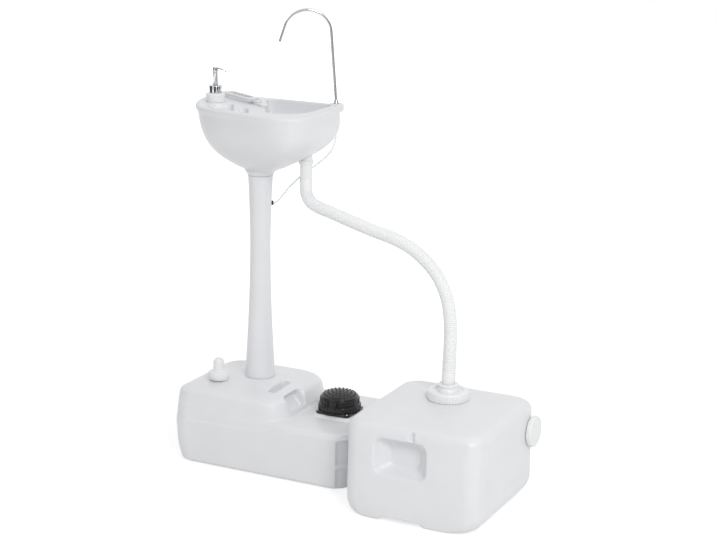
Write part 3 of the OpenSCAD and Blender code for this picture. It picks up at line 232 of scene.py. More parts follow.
def smoothRows(rows, steps):
    rows = [np.array(r, float) for r in rows]
    out = []
    for i in range(len(rows) - 1):
        a, b, c, d = rows[max(i - 1, 0)], rows[i], rows[i + 1], rows[min(i + 2, len(rows) - 1)]
        for j in range(steps):
            v = curvePoint(a, b, c, d, j / steps)
            out.append(np.clip(v, np.minimum(b, c), np.maximum(b, c)))
    out.append(rows[-1])
    return out


def meshOf(name, vertices, faces):
    mesh = bpy.data.meshes.new(name)
    mesh.from_pydata([tuple(v) for v in np.array(vertices) * mm], [], faces)
    mesh.update()
    piece = bpy.data.objects.new(name, mesh)
    bpy.context.collection.objects.link(piece)
    return piece


def loft(name, rings):
    n = len(rings[0])
    vertices = np.vstack(rings)
    faces = []
    for i in range(len(rings) - 1):
        for j in range(n):
            k = (j + 1) % n
            faces.append((i * n + j, i * n + k, (i + 1) * n + k, (i + 1) * n + j))
    faces.append(tuple(range(n - 1, -1, -1)))
    last = (len(rings) - 1) * n
    faces.append(tuple(last + j for j in range(n)))
    return meshOf(name, vertices, faces)


def sleeve(name, rings):
    # a loft whose last ring joins the first
    n = len(rings[0])
    faces = []
    for i in range(len(rings)):
        k = (i + 1) % len(rings)
        faces += [(i * n + j, i * n + (j + 1) % n, k * n + (j + 1) % n, k * n + j) for j in range(n)]
    return meshOf(name, np.vstack(rings), faces)


def tubeRings(path, radii, sides, start):
    p = np.array(path, float)
    t = np.array([p[min(i + 1, len(p) - 1)] - p[max(i - 1, 0)] for i in range(len(p))])
    t /= np.linalg.norm(t, axis=1)[:, None]
    n = np.array(start, float)
    out = []
    a = np.arange(sides) * tau / sides
    for i in range(len(p)):
        n = n - (n @ t[i]) * t[i]
        n /= np.linalg.norm(n)
        b = np.cross(t[i], n)
        out.append(p[i] + radii[i] * (np.cos(a)[:, None] * n + np.sin(a)[:, None] * b))
    return out


def revolve(name, profile, segments=96, centre=(0, 0, 0)):
    # profile runs from the axis outwards and back to the axis, or closes on itself
    vertices, faces, index = [], [], []
    for r, z in profile:
        if r < 1e-6:
            index.append([len(vertices)])
            vertices.append((0, 0, z))
        else:
            index.append(list(range(len(vertices), len(vertices) + segments)))
            a = np.arange(segments) * tau / segments
            vertices += [(r * math.cos(x), r * math.sin(x), z) for x in a]
    pairs = list(zip(index, index[1:]))
    if len(index[0]) > 1:
        pairs.append((index[-1], index[0]))
    for low, high in pairs:
        for j in range(segments):
            k = (j + 1) % segments
            if len(low) == 1 and len(high) == 1:
                continue
            if len(low) == 1:
                faces.append((low[0], high[k], high[j]))
            elif len(high) == 1:
                faces.append((low[j], low[k], high[0]))
            else:
                faces.append((low[j], low[k], high[k], high[j]))
    return meshOf(name, np.array(vertices) + np.array(centre, float), faces)


def quarter(x, z, wide, high, start, n):
    # quarter round of a profile, from its side to its top
    return [(x + wide * math.cos(a), z + high * math.sin(a)) for a in np.linspace(start, math.pi / 2, n)]


def rounded(profile, radius, steps=4):
    # softens the corners of a profile whose two ends stay where they are
    p = [np.array(q, float) for q in profile]
    out = [tuple(p[0])]
    for i in range(1, len(p) - 1):
        a, b, c = p[i - 1], p[i], p[i + 1]
        la, lc = np.linalg.norm(a - b), np.linalg.norm(c - b)
        r = min(radius, 0.45 * la, 0.45 * lc)
        start, stop = b + (a - b) / la * r, b + (c - b) / lc * r
        for u in np.linspace(0, 1, steps + 1):
            out.append(tuple((1 - u) ** 2 * start + 2 * u * (1 - u) * b + u * u * stop))
    out.append(tuple(p[-1]))
    return out


def roundRect(x0, x1, y0, y1, r, corner=8, side=0, right=None, back=None):
    # closed outline from the back right corner round to the left; right is the radius of the right
    # corners, and back that of the one behind
    k = right or r
    b = back or k
    out = []
    centres = [(x1 - b, y1 - b, 0, b), (x0 + r, y1 - r, 90, r),
               (x0 + r, y0 + r, 180, r), (x1 - k, y0 + k, 270, k)]
    for i, (cx, cy, start, q) in enumerate(centres):
        arc = [(cx + q * math.cos(math.radians(start + 90 * j / corner)),
                cy + q * math.sin(math.radians(start + 90 * j / corner))) for j in range(corner + 1)]
        out += arc
        nx = centres[(i + 1) % 4]
        a = math.radians(nx[2])
        end = (nx[0] + nx[3] * math.cos(a), nx[1] + nx[3] * math.sin(a))
        for j in range(1, side + 1):
            u = j / (side + 1)
            out.append((arc[-1][0] + (end[0] - arc[-1][0]) * u, arc[-1][1] + (end[1] - arc[-1][1]) * u))
    return np.array(out)


def pill(w, h, r, corner=8):
    return roundRect(-w / 2, w / 2, -h / 2, h / 2, r, corner)


def level(outline, z):
    # flat outline as a ring at height z
    return np.c_[outline, np.full(len(outline), z)]


def disc(d, corner, place=(0, 0), less=0.01):
    # round outline of diameter d about a place
    return pill(d, d, d / 2 - less, corner) + np.array(place)


def prism(name, outline, low, high):
    return loft(name, [level(outline, z) for z in (low, high)])


def apply(piece, kind, **settings):
    mod = piece.modifiers.new(kind.lower(), kind)
    for key, value in settings.items():
        setattr(mod, key, value)


def bake(piece):
    # the modifiers' result becomes the piece's own mesh
    graph = bpy.context.evaluated_depsgraph_get()
    mesh = bpy.data.meshes.new_from_object(piece.evaluated_get(graph))
    piece.modifiers.clear()
    old = piece.data
    piece.data = mesh
    bpy.data.meshes.remove(old)
    mesh.name = piece.name
    return piece


def drop(piece):
    mesh = piece.data
    bpy.data.objects.remove(piece)
    bpy.data.meshes.remove(mesh)


def cut(piece, *cutters):
    for c in cutters:
        apply(piece, "BOOLEAN", operation="DIFFERENCE", object=c, solver="MANIFOLD")
        bake(piece)
        drop(c)
    return piece


def joined(name, *parts):
    bm = bmesh.new()
    for p in parts:
        bm.from_mesh(p.data)
    mesh = bpy.data.meshes.new(name)
    bm.to_mesh(mesh)
    bm.free()
    for p in parts:
        drop(p)
    piece = bpy.data.objects.new(name, mesh)
    bpy.context.collection.objects.link(piece)
    return piece


def blown(piece, voxel, smooth):
    # one skin with soft edges, as blow moulding leaves it
    apply(piece, "REMESH", mode="VOXEL", voxel_size=voxel * mm, use_smooth_shade=True)
    bake(piece)
    apply(piece, "SMOOTH", factor=0.5, iterations=smooth)
    bake(piece)
    return piece


def shade(piece, angle=35):
    piece.data.shade_smooth()
    if angle < 180:
        piece.data.set_sharp_from_angle(angle=math.radians(angle))
    return piece


def finish(piece, slotName, body, *replaced):
    piece.data.materials.clear()
    piece.data.materials.append(materials[slotName])
    for p in piece.data.polygons:
        p.material_index = 0
    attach(piece, body)
    if replaced:
        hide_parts(*replaced)
    return piece


def turned(name, profile, segments, x, y, angle, slotName, body, node):
    piece = revolve(name, profile, segments, (x, y, 0))
    shade(piece, angle)
    finish(piece, slotName, body, node)


# what repeats is placed by Geometry Nodes

def ringTree(name, item, material):
    # the item is set count times round the Z axis at radius, then the whole ring is lifted
    tree = bpy.data.node_groups.new(name, "GeometryNodeTree")
    face = tree.interface
    face.new_socket("Geometry", in_out="INPUT", socket_type="NodeSocketGeometry")
    sockets = {}
    for label, kind, value in (("Count", "NodeSocketInt", 12), ("Radius", "NodeSocketFloat", 0.02),
                               ("Height", "NodeSocketFloat", 0.0), ("Start", "NodeSocketFloat", 0.0)):
        s = face.new_socket(label, in_out="INPUT", socket_type=kind)
        s.default_value = value
        sockets[label] = s.identifier
    face.new_socket("Geometry", in_out="OUTPUT", socket_type="NodeSocketGeometry")
    start = addNode(tree, "NodeGroupInput").outputs
    index = addNode(tree, "GeometryNodeInputIndex").outputs[0]
    share = mathNode(tree, "DIVIDE", index, start["Count"])
    angle = mathNode(tree, "MULTIPLY_ADD", share, tau, start["Start"])
    x, y = [mathNode(tree, "MULTIPLY", mathNode(tree, way, angle), start["Radius"])
            for way in ("COSINE", "SINE")]
    place = addNode(tree, "ShaderNodeCombineXYZ", {0: x, 1: y, 2: start["Height"]})
    points = addNode(tree, "GeometryNodePoints", {"Count": start["Count"], "Position": place.outputs[0]})
    info = addNode(tree, "GeometryNodeObjectInfo", {"Object": item})
    spin = addNode(tree, "ShaderNodeCombineXYZ", {2: angle})
    instances = addNode(tree, "GeometryNodeInstanceOnPoints", {
        "Points": points.outputs[0], "Instance": info.outputs["Geometry"], "Rotation": spin.outputs[0]})
    real = addNode(tree, "GeometryNodeRealizeInstances", {0: instances.outputs[0]})
    join = addNode(tree, "GeometryNodeJoinGeometry", {0: start["Geometry"]})
    tree.links.new(real.outputs[0], join.inputs[0])
    paint = addNode(tree, "GeometryNodeSetMaterial", {0: join.outputs[0], "Material": material})
    addNode(tree, "NodeGroupOutput", {0: paint.outputs[0]})
    return tree, sockets


def addRing(piece, item, slotName, count, radius, height=0.0, start=0.0):
    tree, sockets = ringTree(piece.name + "Ring", item, materials[slotName])
    mod = piece.modifiers.new("ring", "NODES")
    mod.node_group = tree
    mod[sockets["Count"]] = count
    mod[sockets["Radius"]] = radius * mm
    mod[sockets["Height"]] = height * mm
    mod[sockets["Start"]] = start
    bake(piece)
    bpy.data.node_groups.remove(tree)
    return piece


def moved(piece, x=0, y=0, z=0, turn=None):
    m = Matrix.Translation(Vector((x, y, z)) * mm)
    if turn is not None:
        m = m @ turn.to_4x4()
    piece.data.transform(m)
    return piece


# hoses first

drainHose = {
    "route": [
        (115, 53, 803), (115, 53, 786), (115, 53, 769), (122, 52, 749), (139, 48, 734), (168, 42, 725),
        (208, 33, 718), (276, 19, 704), (351, 3, 690), (419, -11, 679), (474, -22, 662), (523, -33, 635),
        (564, -42, 598), (592, -48, 549), (604, -50, 499), (608, -51, 448), (608, -52, 396), (607, -52, 350),
        (606, -52, 332), (606, -52, 314)],
    "diameter": 36,
    "bore": 29,
    "ribs": 150,
    "ribDepth": 1.6,
    "cuff": 34,
    "sides": 28,
}
supplyTube = {
    "route": [
        (148, 167, 950), (148, 167, 938), (148, 167, 922), (148, 167, 905), (145, 165, 885), (137, 160, 865),
        (122, 152, 845), (100, 140, 824), (79, 124, 805), (62, 105, 787), (50, 80, 768), (43, 56, 750),
        (39, 38, 738), (36, 24.6, 732), (34.5, 20.7, 730), (31.8, 19.1, 730)],
    "diameter": 6,
}


def curveThrough(points, steps):
    p = np.array(points, float)
    out = []
    for i in range(len(p) - 1):
        a, b, c, d = p[max(i - 1, 0)], p[i], p[i + 1], p[min(i + 2, len(p) - 1)]
        for j in range(steps):
            out.append(curvePoint(a, b, c, d, j / steps))
    out.append(p[-1])
    return np.array(out)


def lengthsAlong(p):
    return np.r_[0, np.cumsum(np.linalg.norm(np.diff(p, axis=0), axis=1))]


def alongAt(p, places):
    s = lengthsAlong(p)
    return np.c_[[np.interp(places, s, p[:, k]) for k in range(3)]].T


def makeDrainHose(h):
    curve = curveThrough(h["route"], 12)
    total = lengthsAlong(curve)[-1]
    pitch = (total - 2 * h["cuff"]) / h["ribs"]
    outer = h["diameter"] / 2
    places, radii = [0, 1.2, h["cuff"] - 1], [outer - 0.7, outer, outer]
    wave = [(0.0, 0.0), (0.18, 0.55), (0.34, 0.97), (0.5, 1.0), (0.66, 0.97), (0.82, 0.55)]
    for i in range(h["ribs"]):
        for share, out in wave:
            places.append(h["cuff"] + pitch * (i + share))
            radii.append(outer - h["ribDepth"] * (1 - out))
    places += [total - h["cuff"], total - h["cuff"] + 1, total - 1.2, total]
    radii += [outer - h["ribDepth"], outer, outer, outer - 0.7]
    n = h["sides"]
    rings = tubeRings(alongAt(curve, places), radii, n, (1, 0, 0))
    inside = tubeRings(alongAt(curve, np.linspace(total, 0, 90)), [h["bore"] / 2] * 90, n, (1, 0, 0))
    piece = sleeve("drainHose", rings + inside)
    shade(piece, 70)
    finish(piece, "white_hose", "stand", "drain_hose")


def makeSupplyTube(t):
    curve = curveThrough(t["route"], 6)
    rings = tubeRings(curve, [t["diameter"] / 2] * len(curve), 16, (0, 1, 0))
    piece = loft("supplyTube", rings)
    shade(piece, 70)
    finish(piece, "clear_tube", "stand", "supply_tube")


makeDrainHose(drainHose)
makeSupplyTube(supplyTube)
print("hoses made")


# basin

basin = {
    "rim": 1000,
    "depth": 190,
    # each wall's direction in degrees and distance from the middle
    "walls": [(5, 193), (90, 166), (180, 240), (216, 178), (260, 125), (310, 210)],
    "sharp": 8,
    "roll": 10,             # radius of the rolled rim
    "halfWidth": 145.5,     # middle distance of the walls, which the roll is a share of
    "swell": (0.98, 3.4, 1.15),     # share of the plan at the rim, and the powers of its fall to the neck
    "lean": 9,
    "neck": 36,
    "bowlDepth": 121,
    "bowlPower": 2.4,       # higher is fuller
    "bowlWalls": [(0, 102), (90, 100), (208.4, 54.8), (276, 141), (307, 134)],
    "bowlMiddle": (52, 50),
    "bowlFloor": (98, 50),
    "bowlRows": [119, 116, 110, 104, 98, 90, 82, 72, 62, 50, 40, 30, 20, 10],
    "bowlLip": 5,           # radius of the bowl's upper edge
    "pocketDepth": 14,
    "pockets": [([(-151, -26), (-102, -87), (-27, -103), (-93, 10)], [34, 30, 14, 16]),
                ([(-49, -32), (0, -113), (22, -109), (-20, -36)], [11, 9, 9, 10])],
    "drain": (115, 53), "drainBore": 36.6, "drainSeat": (46, 853.6),
    "faucet": (148, 167), "faucetHole": 9,
    "lugRadius": 22,
    "lugHeight": 23,
    "soap": (-157, 22), "well": 22, "wellDepth": 76,
    "voxel": 2.4,
    "smooth": 7,
}


def walled(walls, sharp, a):
    total = sum(np.maximum(0, np.cos(np.radians(a - w[0])) / w[1]) ** sharp for w in walls)
    return total ** (-1 / sharp)


def basinShare(b, d):
    full, inner, outer = b["swell"]
    return full * (1 - (d / (b["depth"] + 5)) ** inner) ** outer


def basinRing(b, d, share, mix, r, n):
    a = (np.arange(n) + 0.5) * 360 / n
    way = np.c_[np.cos(np.radians(a)), np.sin(np.radians(a))]
    plan = way * walled(b["walls"], b["sharp"], a)[:, None]
    m = (1 - mix) * share * plan + mix * r * way
    lean = b["lean"] * math.sin(math.pi * min(1, max(0, d) / (0.76 * b["depth"])))
    return np.c_[m[:, 0] + lean, m[:, 1], np.full(n, b["rim"] - d)]


def bowlShare(b, d):
    power = b["bowlPower"]
    return (1 - (d / (b["bowlDepth"] + 1)) ** power) ** (1 / power)


def bowlRing(b, d, share, grow, n):
    a = np.arange(n) * 360 / n
    low, mid = np.array(b["bowlFloor"]), np.array(b["bowlMiddle"])
    c = low + (mid - low) * share
    r = walled(b["bowlWalls"], b["sharp"], a) * share + grow
    a = np.radians(a)
    return np.c_[c[0] + r * np.cos(a), c[1] + r * np.sin(a), np.full(n, b["rim"] - d)]


def softened(corners, cuts, steps=6):
    c = [np.array(p, float) for p in corners]
    out = []
    for i, p in enumerate(c):
        before, after = c[i - 1] - p, c[(i + 1) % len(c)] - p
        a = p + before / np.linalg.norm(before) * cuts[i]
        b = p + after / np.linalg.norm(after) * cuts[i]
        for u in np.linspace(0, 1, steps + 1):
            out.append((1 - u) ** 2 * a + 2 * u * (1 - u) * p + u * u * b)
    return np.array(out)


def makeBasin(b):
    n = 180
    depth, roll = b["depth"], b["roll"]
    rows = [(depth, 0, 1, b["neck"]), (depth - 7, 0, 1, b["neck"] + 3)]
    rows.append((depth - 14, 0.26, 0.6, b["neck"] + 10))
    rows += [(d, basinShare(b, d), 0, 0) for d in (170, 163, 154, 142, 128, 112, 94, 72, 48, 30, 20)]
    dense = smoothRows(rows, 4)
    for a in np.linspace(0, math.pi / 2, 9):
        dense.append((roll * (1 - math.sin(a)), 1 - roll * (1 - math.cos(a)) / b["halfWidth"], 0, 0))
    body = loft("basinBody", [basinRing(b, d, s, m, r, n) for d, s, m, r in dense])
    rings = [bowlRing(b, d, bowlShare(b, d), 0, 120) for d in [b["bowlDepth"]] + b["bowlRows"]]
    lip = b["bowlLip"]
    for t in np.linspace(0.25, math.pi / 2, 5):
        rings.append(bowlRing(b, lip - lip * math.sin(t), 1, lip * (1 - math.cos(t)), 120))
    rings.append(bowlRing(b, -12, 1, 12, 120))
    bowl = loft("bowl", rings)
    cutters = [bowl]
    for corners, cuts in b["pockets"]:
        line = softened(corners, cuts)
        mid = line.mean(0)
        deep = b["pocketDepth"]
        floor = b["rim"] - deep
        steps = [(0, 0.93), (0.5, 0.955), (2.5, 0.975), (deep - 2, 1.0), (deep, 1.03), (deep + 20, 1.03)]
        cutters.append(loft("pocket", [level(mid + (line - mid) * s, floor + z) for z, s in steps]))
    seat, seatTop = b["drainSeat"]
    cutters += [
        prism("well", disc(2 * b["well"], 16, b["soap"]), b["rim"] - b["wellDepth"], b["rim"] + 20),
        prism("bore", disc(b["drainBore"], 16, b["drain"]), 780, 913),
        prism("seat", disc(seat, 16, b["drain"], 0.1), 780, seatTop)]
    cut(body, *cutters)
    r, high = b["lugRadius"], b["lugHeight"]
    top = b["rim"] - 0.4
    lugRings = []
    for z, e in ((0, 5), (1.5, 2), (5, 0), (high - 4, 0), (high - 1.2, 1.2), (high, 4)):
        lugRings.append(level(disc(2 * (r - e), 14, b["faucet"]), top - high + z))
    lug = loft("lug", lugRings)
    piece = blown(joined("basinShell", body, lug), b["voxel"], b["smooth"])
    cut(piece, prism("hole", disc(b["faucetHole"], 8, b["faucet"]), 960, 1010))
    shade(piece, 60)
    finish(piece, "moulded", "stand", "basin")


makeBasin(basin)
print("basin made")


# base tank

base = {
    "left": -192, "right": 368, "half": 180,
    "ledge": 154,           # height of the low deck
    "deck": 228,
    "deckRight": 142,
    "riser": 22,
    "corner": 52, "edge": 12, "upperCorner": 75, "backShare": 1.25,
    "belt": 127, "beltSweep": 18, "tuck": 15, "tuckHeight": 74,
    "pump": 256, "padTop": 162, "padWidth": 110,
    "handleY": -44, "handleLength": 96, "thumb": (86, 26, 26),      # middle, width, depth
    "finger": (148, -58, 194), "fingerWidth": 48, "fingerTilt": 50, "fingerDepth": 27,
    "grips": [(66, 58), (163, 42)], "gripWidth": 210, "gripDepth": 16,
    "cornerPocket": 33, "cornerPocketSize": (22, 12),       # direction, width and depth
    "setBack": (334, 9), "setBackHeights": [(-2, 62), (68, 140)],
    "fill": (-95, -70), "fillNeck": 24, "fillNeckTop": 240.5,
    "voxel": 3.0, "smooth": 4,
}


def baseRing(b, z, left, right, inset, r, q=0):
    ring = roundRect(b["left"] + left, right, -b["half"] + inset, b["half"] - inset, max(r, 8), 10, 9,
                     q or None, b["backShare"] * q if q else None)
    return level(ring, z)


def swept(b, ring):
    t = np.clip((ring[:, 0] - 40) / 220, 0, 1)
    ring[:, 2] += b["beltSweep"] * t * t * (3 - 2 * t)
    return ring


def tilted(angle):
    return Matrix.Rotation(math.radians(angle), 4, "Y")


def pocketCutter(name, w, h, depth, place, turn=None, corner=11):
    # rounded pocket whose floor lies depth below its place, with a soft mouth
    rings = []
    steps = [(-depth, -7), (-depth + 1.5, -3), (-depth + 5, -0.5)]
    steps += [(-6, 0), (-2.5, 0.8), (0, 3), (2, 6), (40, 7)]
    for z, grow in steps:
        rings.append(level(pill(w + 2 * grow, h + 2 * grow, max(corner + grow, 3), 6), z))
    piece = loft(name, rings)
    piece.data.transform(Matrix.Translation(Vector(place) * mm) @ (turn or Matrix.Identity(4)))
    return piece


def makeBase(b):
    e, c, right = b["edge"], b["corner"], b["right"]
    rows = []
    for a in np.linspace(0, math.pi / 2, 6):
        k = e * (1 - math.sin(a))
        rows.append(baseRing(b, e * (1 - math.cos(a)), k + b["tuck"], right - k, k, c - k / 2))
    for z, s in ((30, 0.6), (52, 0.22), (b["tuckHeight"], 0), (100, 0)):
        rows.append(baseRing(b, z, s * b["tuck"], right, 0, c))
    rows.append(swept(b, baseRing(b, b["belt"] - 3, 0, right, 0, c)))
    rows.append(swept(b, baseRing(b, b["belt"], 1, right - 3.2, 3.2, c)))
    q, d, deck, ledge = b["upperCorner"], b["deckRight"], b["deck"], b["ledge"]
    foot = d + b["riser"]
    rows += [
        baseRing(b, ledge - 6, 0.5, right - 4, 5, c), baseRing(b, ledge - 2, 0.5, right - 6, 6, c),
        baseRing(b, ledge, 0.5, right - 12, 7, c),
        baseRing(b, ledge + 1.5, 0.5, foot, 8, c, q), baseRing(b, ledge + 8, 0.7, foot - 6, 9, c, q)]
    # below the deck, inset at the left, reach at the right, inset in front and behind, corner radii
    for below, left, out, inset, r, k in (
            (32, 4, 9, 14, c, q), (24, 12, 5, 19, c, q), (18, 24, -1, 28, c, q), (15, 34, -9, 46, c, q),
            (11, 60, -26, 84, 44, 66), (6, 92, -52, 112, 40, 54),
            (1.5, 124, -80, 126, 36, 42), (0, 136, -90, 131, 34, 38)):
        rows.append(baseRing(b, deck - below, left, d + out, inset, r, k))
    body = loft("baseBody", smoothRows(rows, 3))
    w = b["padWidth"]
    pad = []
    for z, grow, r in ((140, 18, 34), (154, 11, 28), (156, 7, 24), (158.5, 3.5, 19),
                       (b["padTop"] - 1.5, 0.8, 15), (b["padTop"], 0, 14)):
        pad.append(level(pill(w + 2 * grow, w + 2 * grow, r, 10) + np.array([b["pump"], 0]), z))
    x, thumbWidth, thumbDepth = b["thumb"]
    long, tilt = b["handleLength"], tilted(b["fingerTilt"])
    cutters = [
        pocketCutter("thumb", thumbWidth, long, thumbDepth + 3, (x, b["handleY"], deck - 4), None, 10),
        pocketCutter("finger", b["fingerWidth"], long - 8, b["fingerDepth"], b["finger"], tilt)]
    wide, deep = b["cornerPocketSize"]
    for z, h in b["grips"]:
        place = (b["left"], 0, z)
        cutters.append(pocketCutter("grip", h, b["gripWidth"], b["gripDepth"], place, tilted(-90), 12))
        a = math.radians(180 + b["cornerPocket"])
        place = (b["left"] + c + (c + 5) * math.cos(a), c - b["half"] + (c + 5) * math.sin(a), z)
        turn = Matrix.Rotation(math.radians(b["cornerPocket"]), 4, "Z") @ tilted(-90)
        cutters.append(pocketCutter("cornerPocket", h, wide, deep, place, turn, 9))
    start, inset = b["setBack"]
    for low, high in b["setBackHeights"]:
        outline = np.array([(420, 220), (start, 220), (start, -220), (420, -220)], float)
        block = prism("setBack", outline, low, high)
        core = roundRect(b["left"], right - inset, -b["half"] + inset, b["half"] - inset, c - inset, 14)
        cut(block, prism("core", core, low - 5, high + 5))
        cutters.append(block)
    cut(body, *cutters)
    piece = blown(joined("baseTank", body, loft("pad", pad)), b["voxel"], b["smooth"])
    x, y = b["fill"]
    r, top = b["fillNeck"], b["fillNeckTop"]
    profile = [(0, 222), (r + 3, 222), (r + 3, 227), (r, 227.6)]
    profile += [(r + 0.9 * (1 if i % 2 else 0), 229.5 + 1.6 * i) for i in range(6)]
    profile += [(r, top - 0.4), (r - 0.4, top), (r - 4, top), (r - 4, 224), (0, 224)]
    neck = revolve("neck", profile, 72, (x, y, 0))
    piece = joined("baseTank", piece, neck)
    shade(piece, 50)
    finish(piece, "moulded", "stand", "base_tank")


makeBase(base)
print("base tank made")


# waste tank

waste = {
    "left": 421, "right": 805, "front": -310, "back": 98, "height": 271,
    "corner": 42,
    "edge": 50,             # height of the soft lower edge
    "topEdge": 28,
    "shares": (0.34, 0.9, 0.05),    # how far the lower edge draws in: left and back, right, front
    "gripX": 585, "gripZ": 177, "gripDepth": 40,
    # distance out from the grip's floor, width, height and corner radius there
    "gripSteps": [(0, 86, 66, 20), (6, 96, 71, 20), (20, 130, 88, 22), (33, 144, 96, 22),
                  (40, 152, 102, 24), (44, 162, 112, 28), (50, 186, 136, 34), (70, 190, 140, 34)],
    "feet": (526, 655), "arch": 10,
    "notch": (617, 240), "notchWidth": 22, "notchHeight": 26, "notchDepth": 14,
    "endNeck": (60, 178),
    "voxel": 3.0, "smooth": 5,
}


def wasteRing(w, z, inset, shares=(1, 1, 1), opened=0):
    ring = roundRect(
        w["left"] + shares[0] * inset, w["right"] - shares[1] * inset,
        w["front"] + shares[2] * inset, w["back"] - shares[0] * inset, w["corner"] + opened, 12, 8)
    return level(ring, z)


def makeWaste(w):
    rows = []
    for a in np.linspace(0, math.pi / 2, 12):
        k = w["edge"] * (1 - math.sin(a))
        rows.append(wasteRing(w, w["edge"] * (1 - math.cos(a)), k, w["shares"], 0.6 * k))
    for a in np.linspace(0, math.radians(67.5), 8):
        z = w["height"] - 6 - w["topEdge"] * (1 - math.sin(a))
        rows.append(wasteRing(w, z, 2 + w["topEdge"] * (1 - math.cos(a))))
    rows += smoothRows([rows[-1], wasteRing(w, w["height"] - 4, 48), wasteRing(w, w["height"], 108)], 5)[1:]
    body = loft("wasteBody", rows)
    grip = []
    for out, width, high, r in w["gripSteps"]:
        ring = pill(width, high, r, 10)
        y = w["front"] + w["gripDepth"] - out
        grip.append(np.c_[ring[:, 0] + w["gripX"], np.full(len(ring), y), ring[:, 1] + w["gripZ"]])
    left, right = w["feet"]
    z = w["arch"]
    arch = []
    half = [(-6, -5), (0, 0.5), (12, z)]
    for y in (w["front"] - 20, w["back"] + 20):
        side = [(left + x, y, up) for x, up in half] + [(right - x, y, up) for x, up in reversed(half)]
        arch.append(np.array(side, float))
    cutters = [loft("grip", grip), loft("arch", arch)]
    x, z = w["notch"]
    wide, front, deep = w["notchWidth"] / 2, w["front"] - 4, w["notchDepth"]
    floor = front + 4 + deep
    groove = [(x - wide, front), (x + wide, front), (x + 3, floor), (x - 3, floor)]
    low, high = z - w["notchHeight"] / 2, z + w["notchHeight"] / 2
    cutters.append(prism("notch", softened(groove, [2] * 4, 3), low, high))
    for c in cutters:
        bm = bmesh.new()
        bm.from_mesh(c.data)
        bmesh.ops.recalc_face_normals(bm, faces=bm.faces)
        bm.to_mesh(c.data)
        bm.free()
    cut(body, *cutters)
    piece = blown(body, w["voxel"], w["smooth"])
    y, z = w["endNeck"]
    profile = [(0, 0), (36, 0), (36, 26.2), (35.5, 26.7), (32.4, 26.7), (32, 26.2), (32, 6), (0, 6)]
    neck = revolve("neck", profile, 80)
    neck.data.transform(Matrix.Translation(Vector((w["right"] - 16, y, z)) * mm) @ tilted(90))
    piece = joined("wasteTank", piece, neck)
    shade(piece, 50)
    finish(piece, "moulded", "stand", "waste_tank")


makeWaste(waste)
print("waste tank made")


# pedestal, turned about its axis, with a side hole for the tube

pedestal = {
    "foot": 42.5, "waist": 29, "top": 35,       # radii
    "low": 228.3, "waistAt": 610, "high": 810,  # heights
    "powers": (1.75, 1.8),                      # of the flare below and above the waist
    "spigot": 34.2, "wall": 3.5,
    "tubeHole": 10, "tubeHoleTurn": 31, "tubeHoleHeight": 730,
}


def pedestalRadius(p, z):
    if z < p["waistAt"]:
        share = (p["waistAt"] - z) / (p["waistAt"] - p["low"])
        return p["waist"] + (p["foot"] - p["waist"]) * share ** p["powers"][0]
    share = (z - p["waistAt"]) / (p["high"] - p["waistAt"])
    return p["waist"] + (p["top"] - p["waist"]) * share ** p["powers"][1]


def makePedestal(p):
    low, high, top = p["low"], p["high"], p["top"]
    side = [(p["spigot"], low - 25), (p["spigot"], low)]
    side += [(p["foot"] - 1.4, low), (p["foot"] - 0.3, low + 0.5)]
    side += [(pedestalRadius(p, z), z) for z in np.linspace(low + 1.5, high - 1, 90)]
    side += [(top - 0.7, high - 0.2), (top - 6, high), (top - 6, high + 27), (top - 9, high + 27)]
    side.append((top - 9, high - 8))
    side += [(pedestalRadius(p, z) - p["wall"], z) for z in np.linspace(high - 12, low + 14, 20)]
    side.append((p["spigot"] - p["wall"], low - 25))
    piece = revolve("pedestalColumn", side, 128)
    turn = Matrix.Rotation(math.radians(p["tubeHoleTurn"]), 4, "Z")
    bore = prism("bore", disc(p["tubeHole"], 8), 5, 60)
    bore.data.transform(turn @ Matrix.Translation((0, 0, p["tubeHoleHeight"] * mm)) @ tilted(90))
    cut(piece, bore)
    shade(piece, 40)
    finish(piece, "moulded", "stand", "pedestal")


makePedestal(pedestal)


# caps: turned bodies with grip ribs round them

def ribBar(name, high, out, wide):
    # upright rib with a round front, to stand at the ring's radius
    half = [(-2.2, wide / 2), (0.3 * out, wide / 2), (0.85 * out, wide / 4)]
    mid = np.array([-2.2, 0])
    p = np.array([(x, -y) for x, y in half] + [(out, 0)] + half[::-1])
    rings = []
    for z, s in ((0, 0.55), (0.5, 0.85), (1.4, 1), (high - 1.4, 1), (high - 0.5, 0.85), (high, 0.55)):
        rings.append(level(mid + (p - mid) * s, z))
    return loft(name, rings)


def ribbedCap(name, profile, ribs, segments=112):
    # profile is the turned body; ribs has count, radius, foot height, height, depth and width
    piece = revolve(name, profile, segments)
    count, radius, foot, high, out, wide = ribs
    item = ribBar("rib", high, out, wide)
    shade(item, 180)
    addRing(piece, item, "white", count, radius, foot)
    drop(item)
    shade(piece, 40)
    return piece


fillCap = {
    "place": (-95, -70, 227.3), "collar": 29.5, "collarHeight": 18,
    "dome": 15.5, "domeHeight": 39, "ribs": 36}
screwRing = {"place": (606, -52, 271.5), "radius": 57.5, "height": 25, "ribs": 48}
endCap = {"place": (805.5, 60, 178), "radius": 43, "height": 16, "ribs": 40}


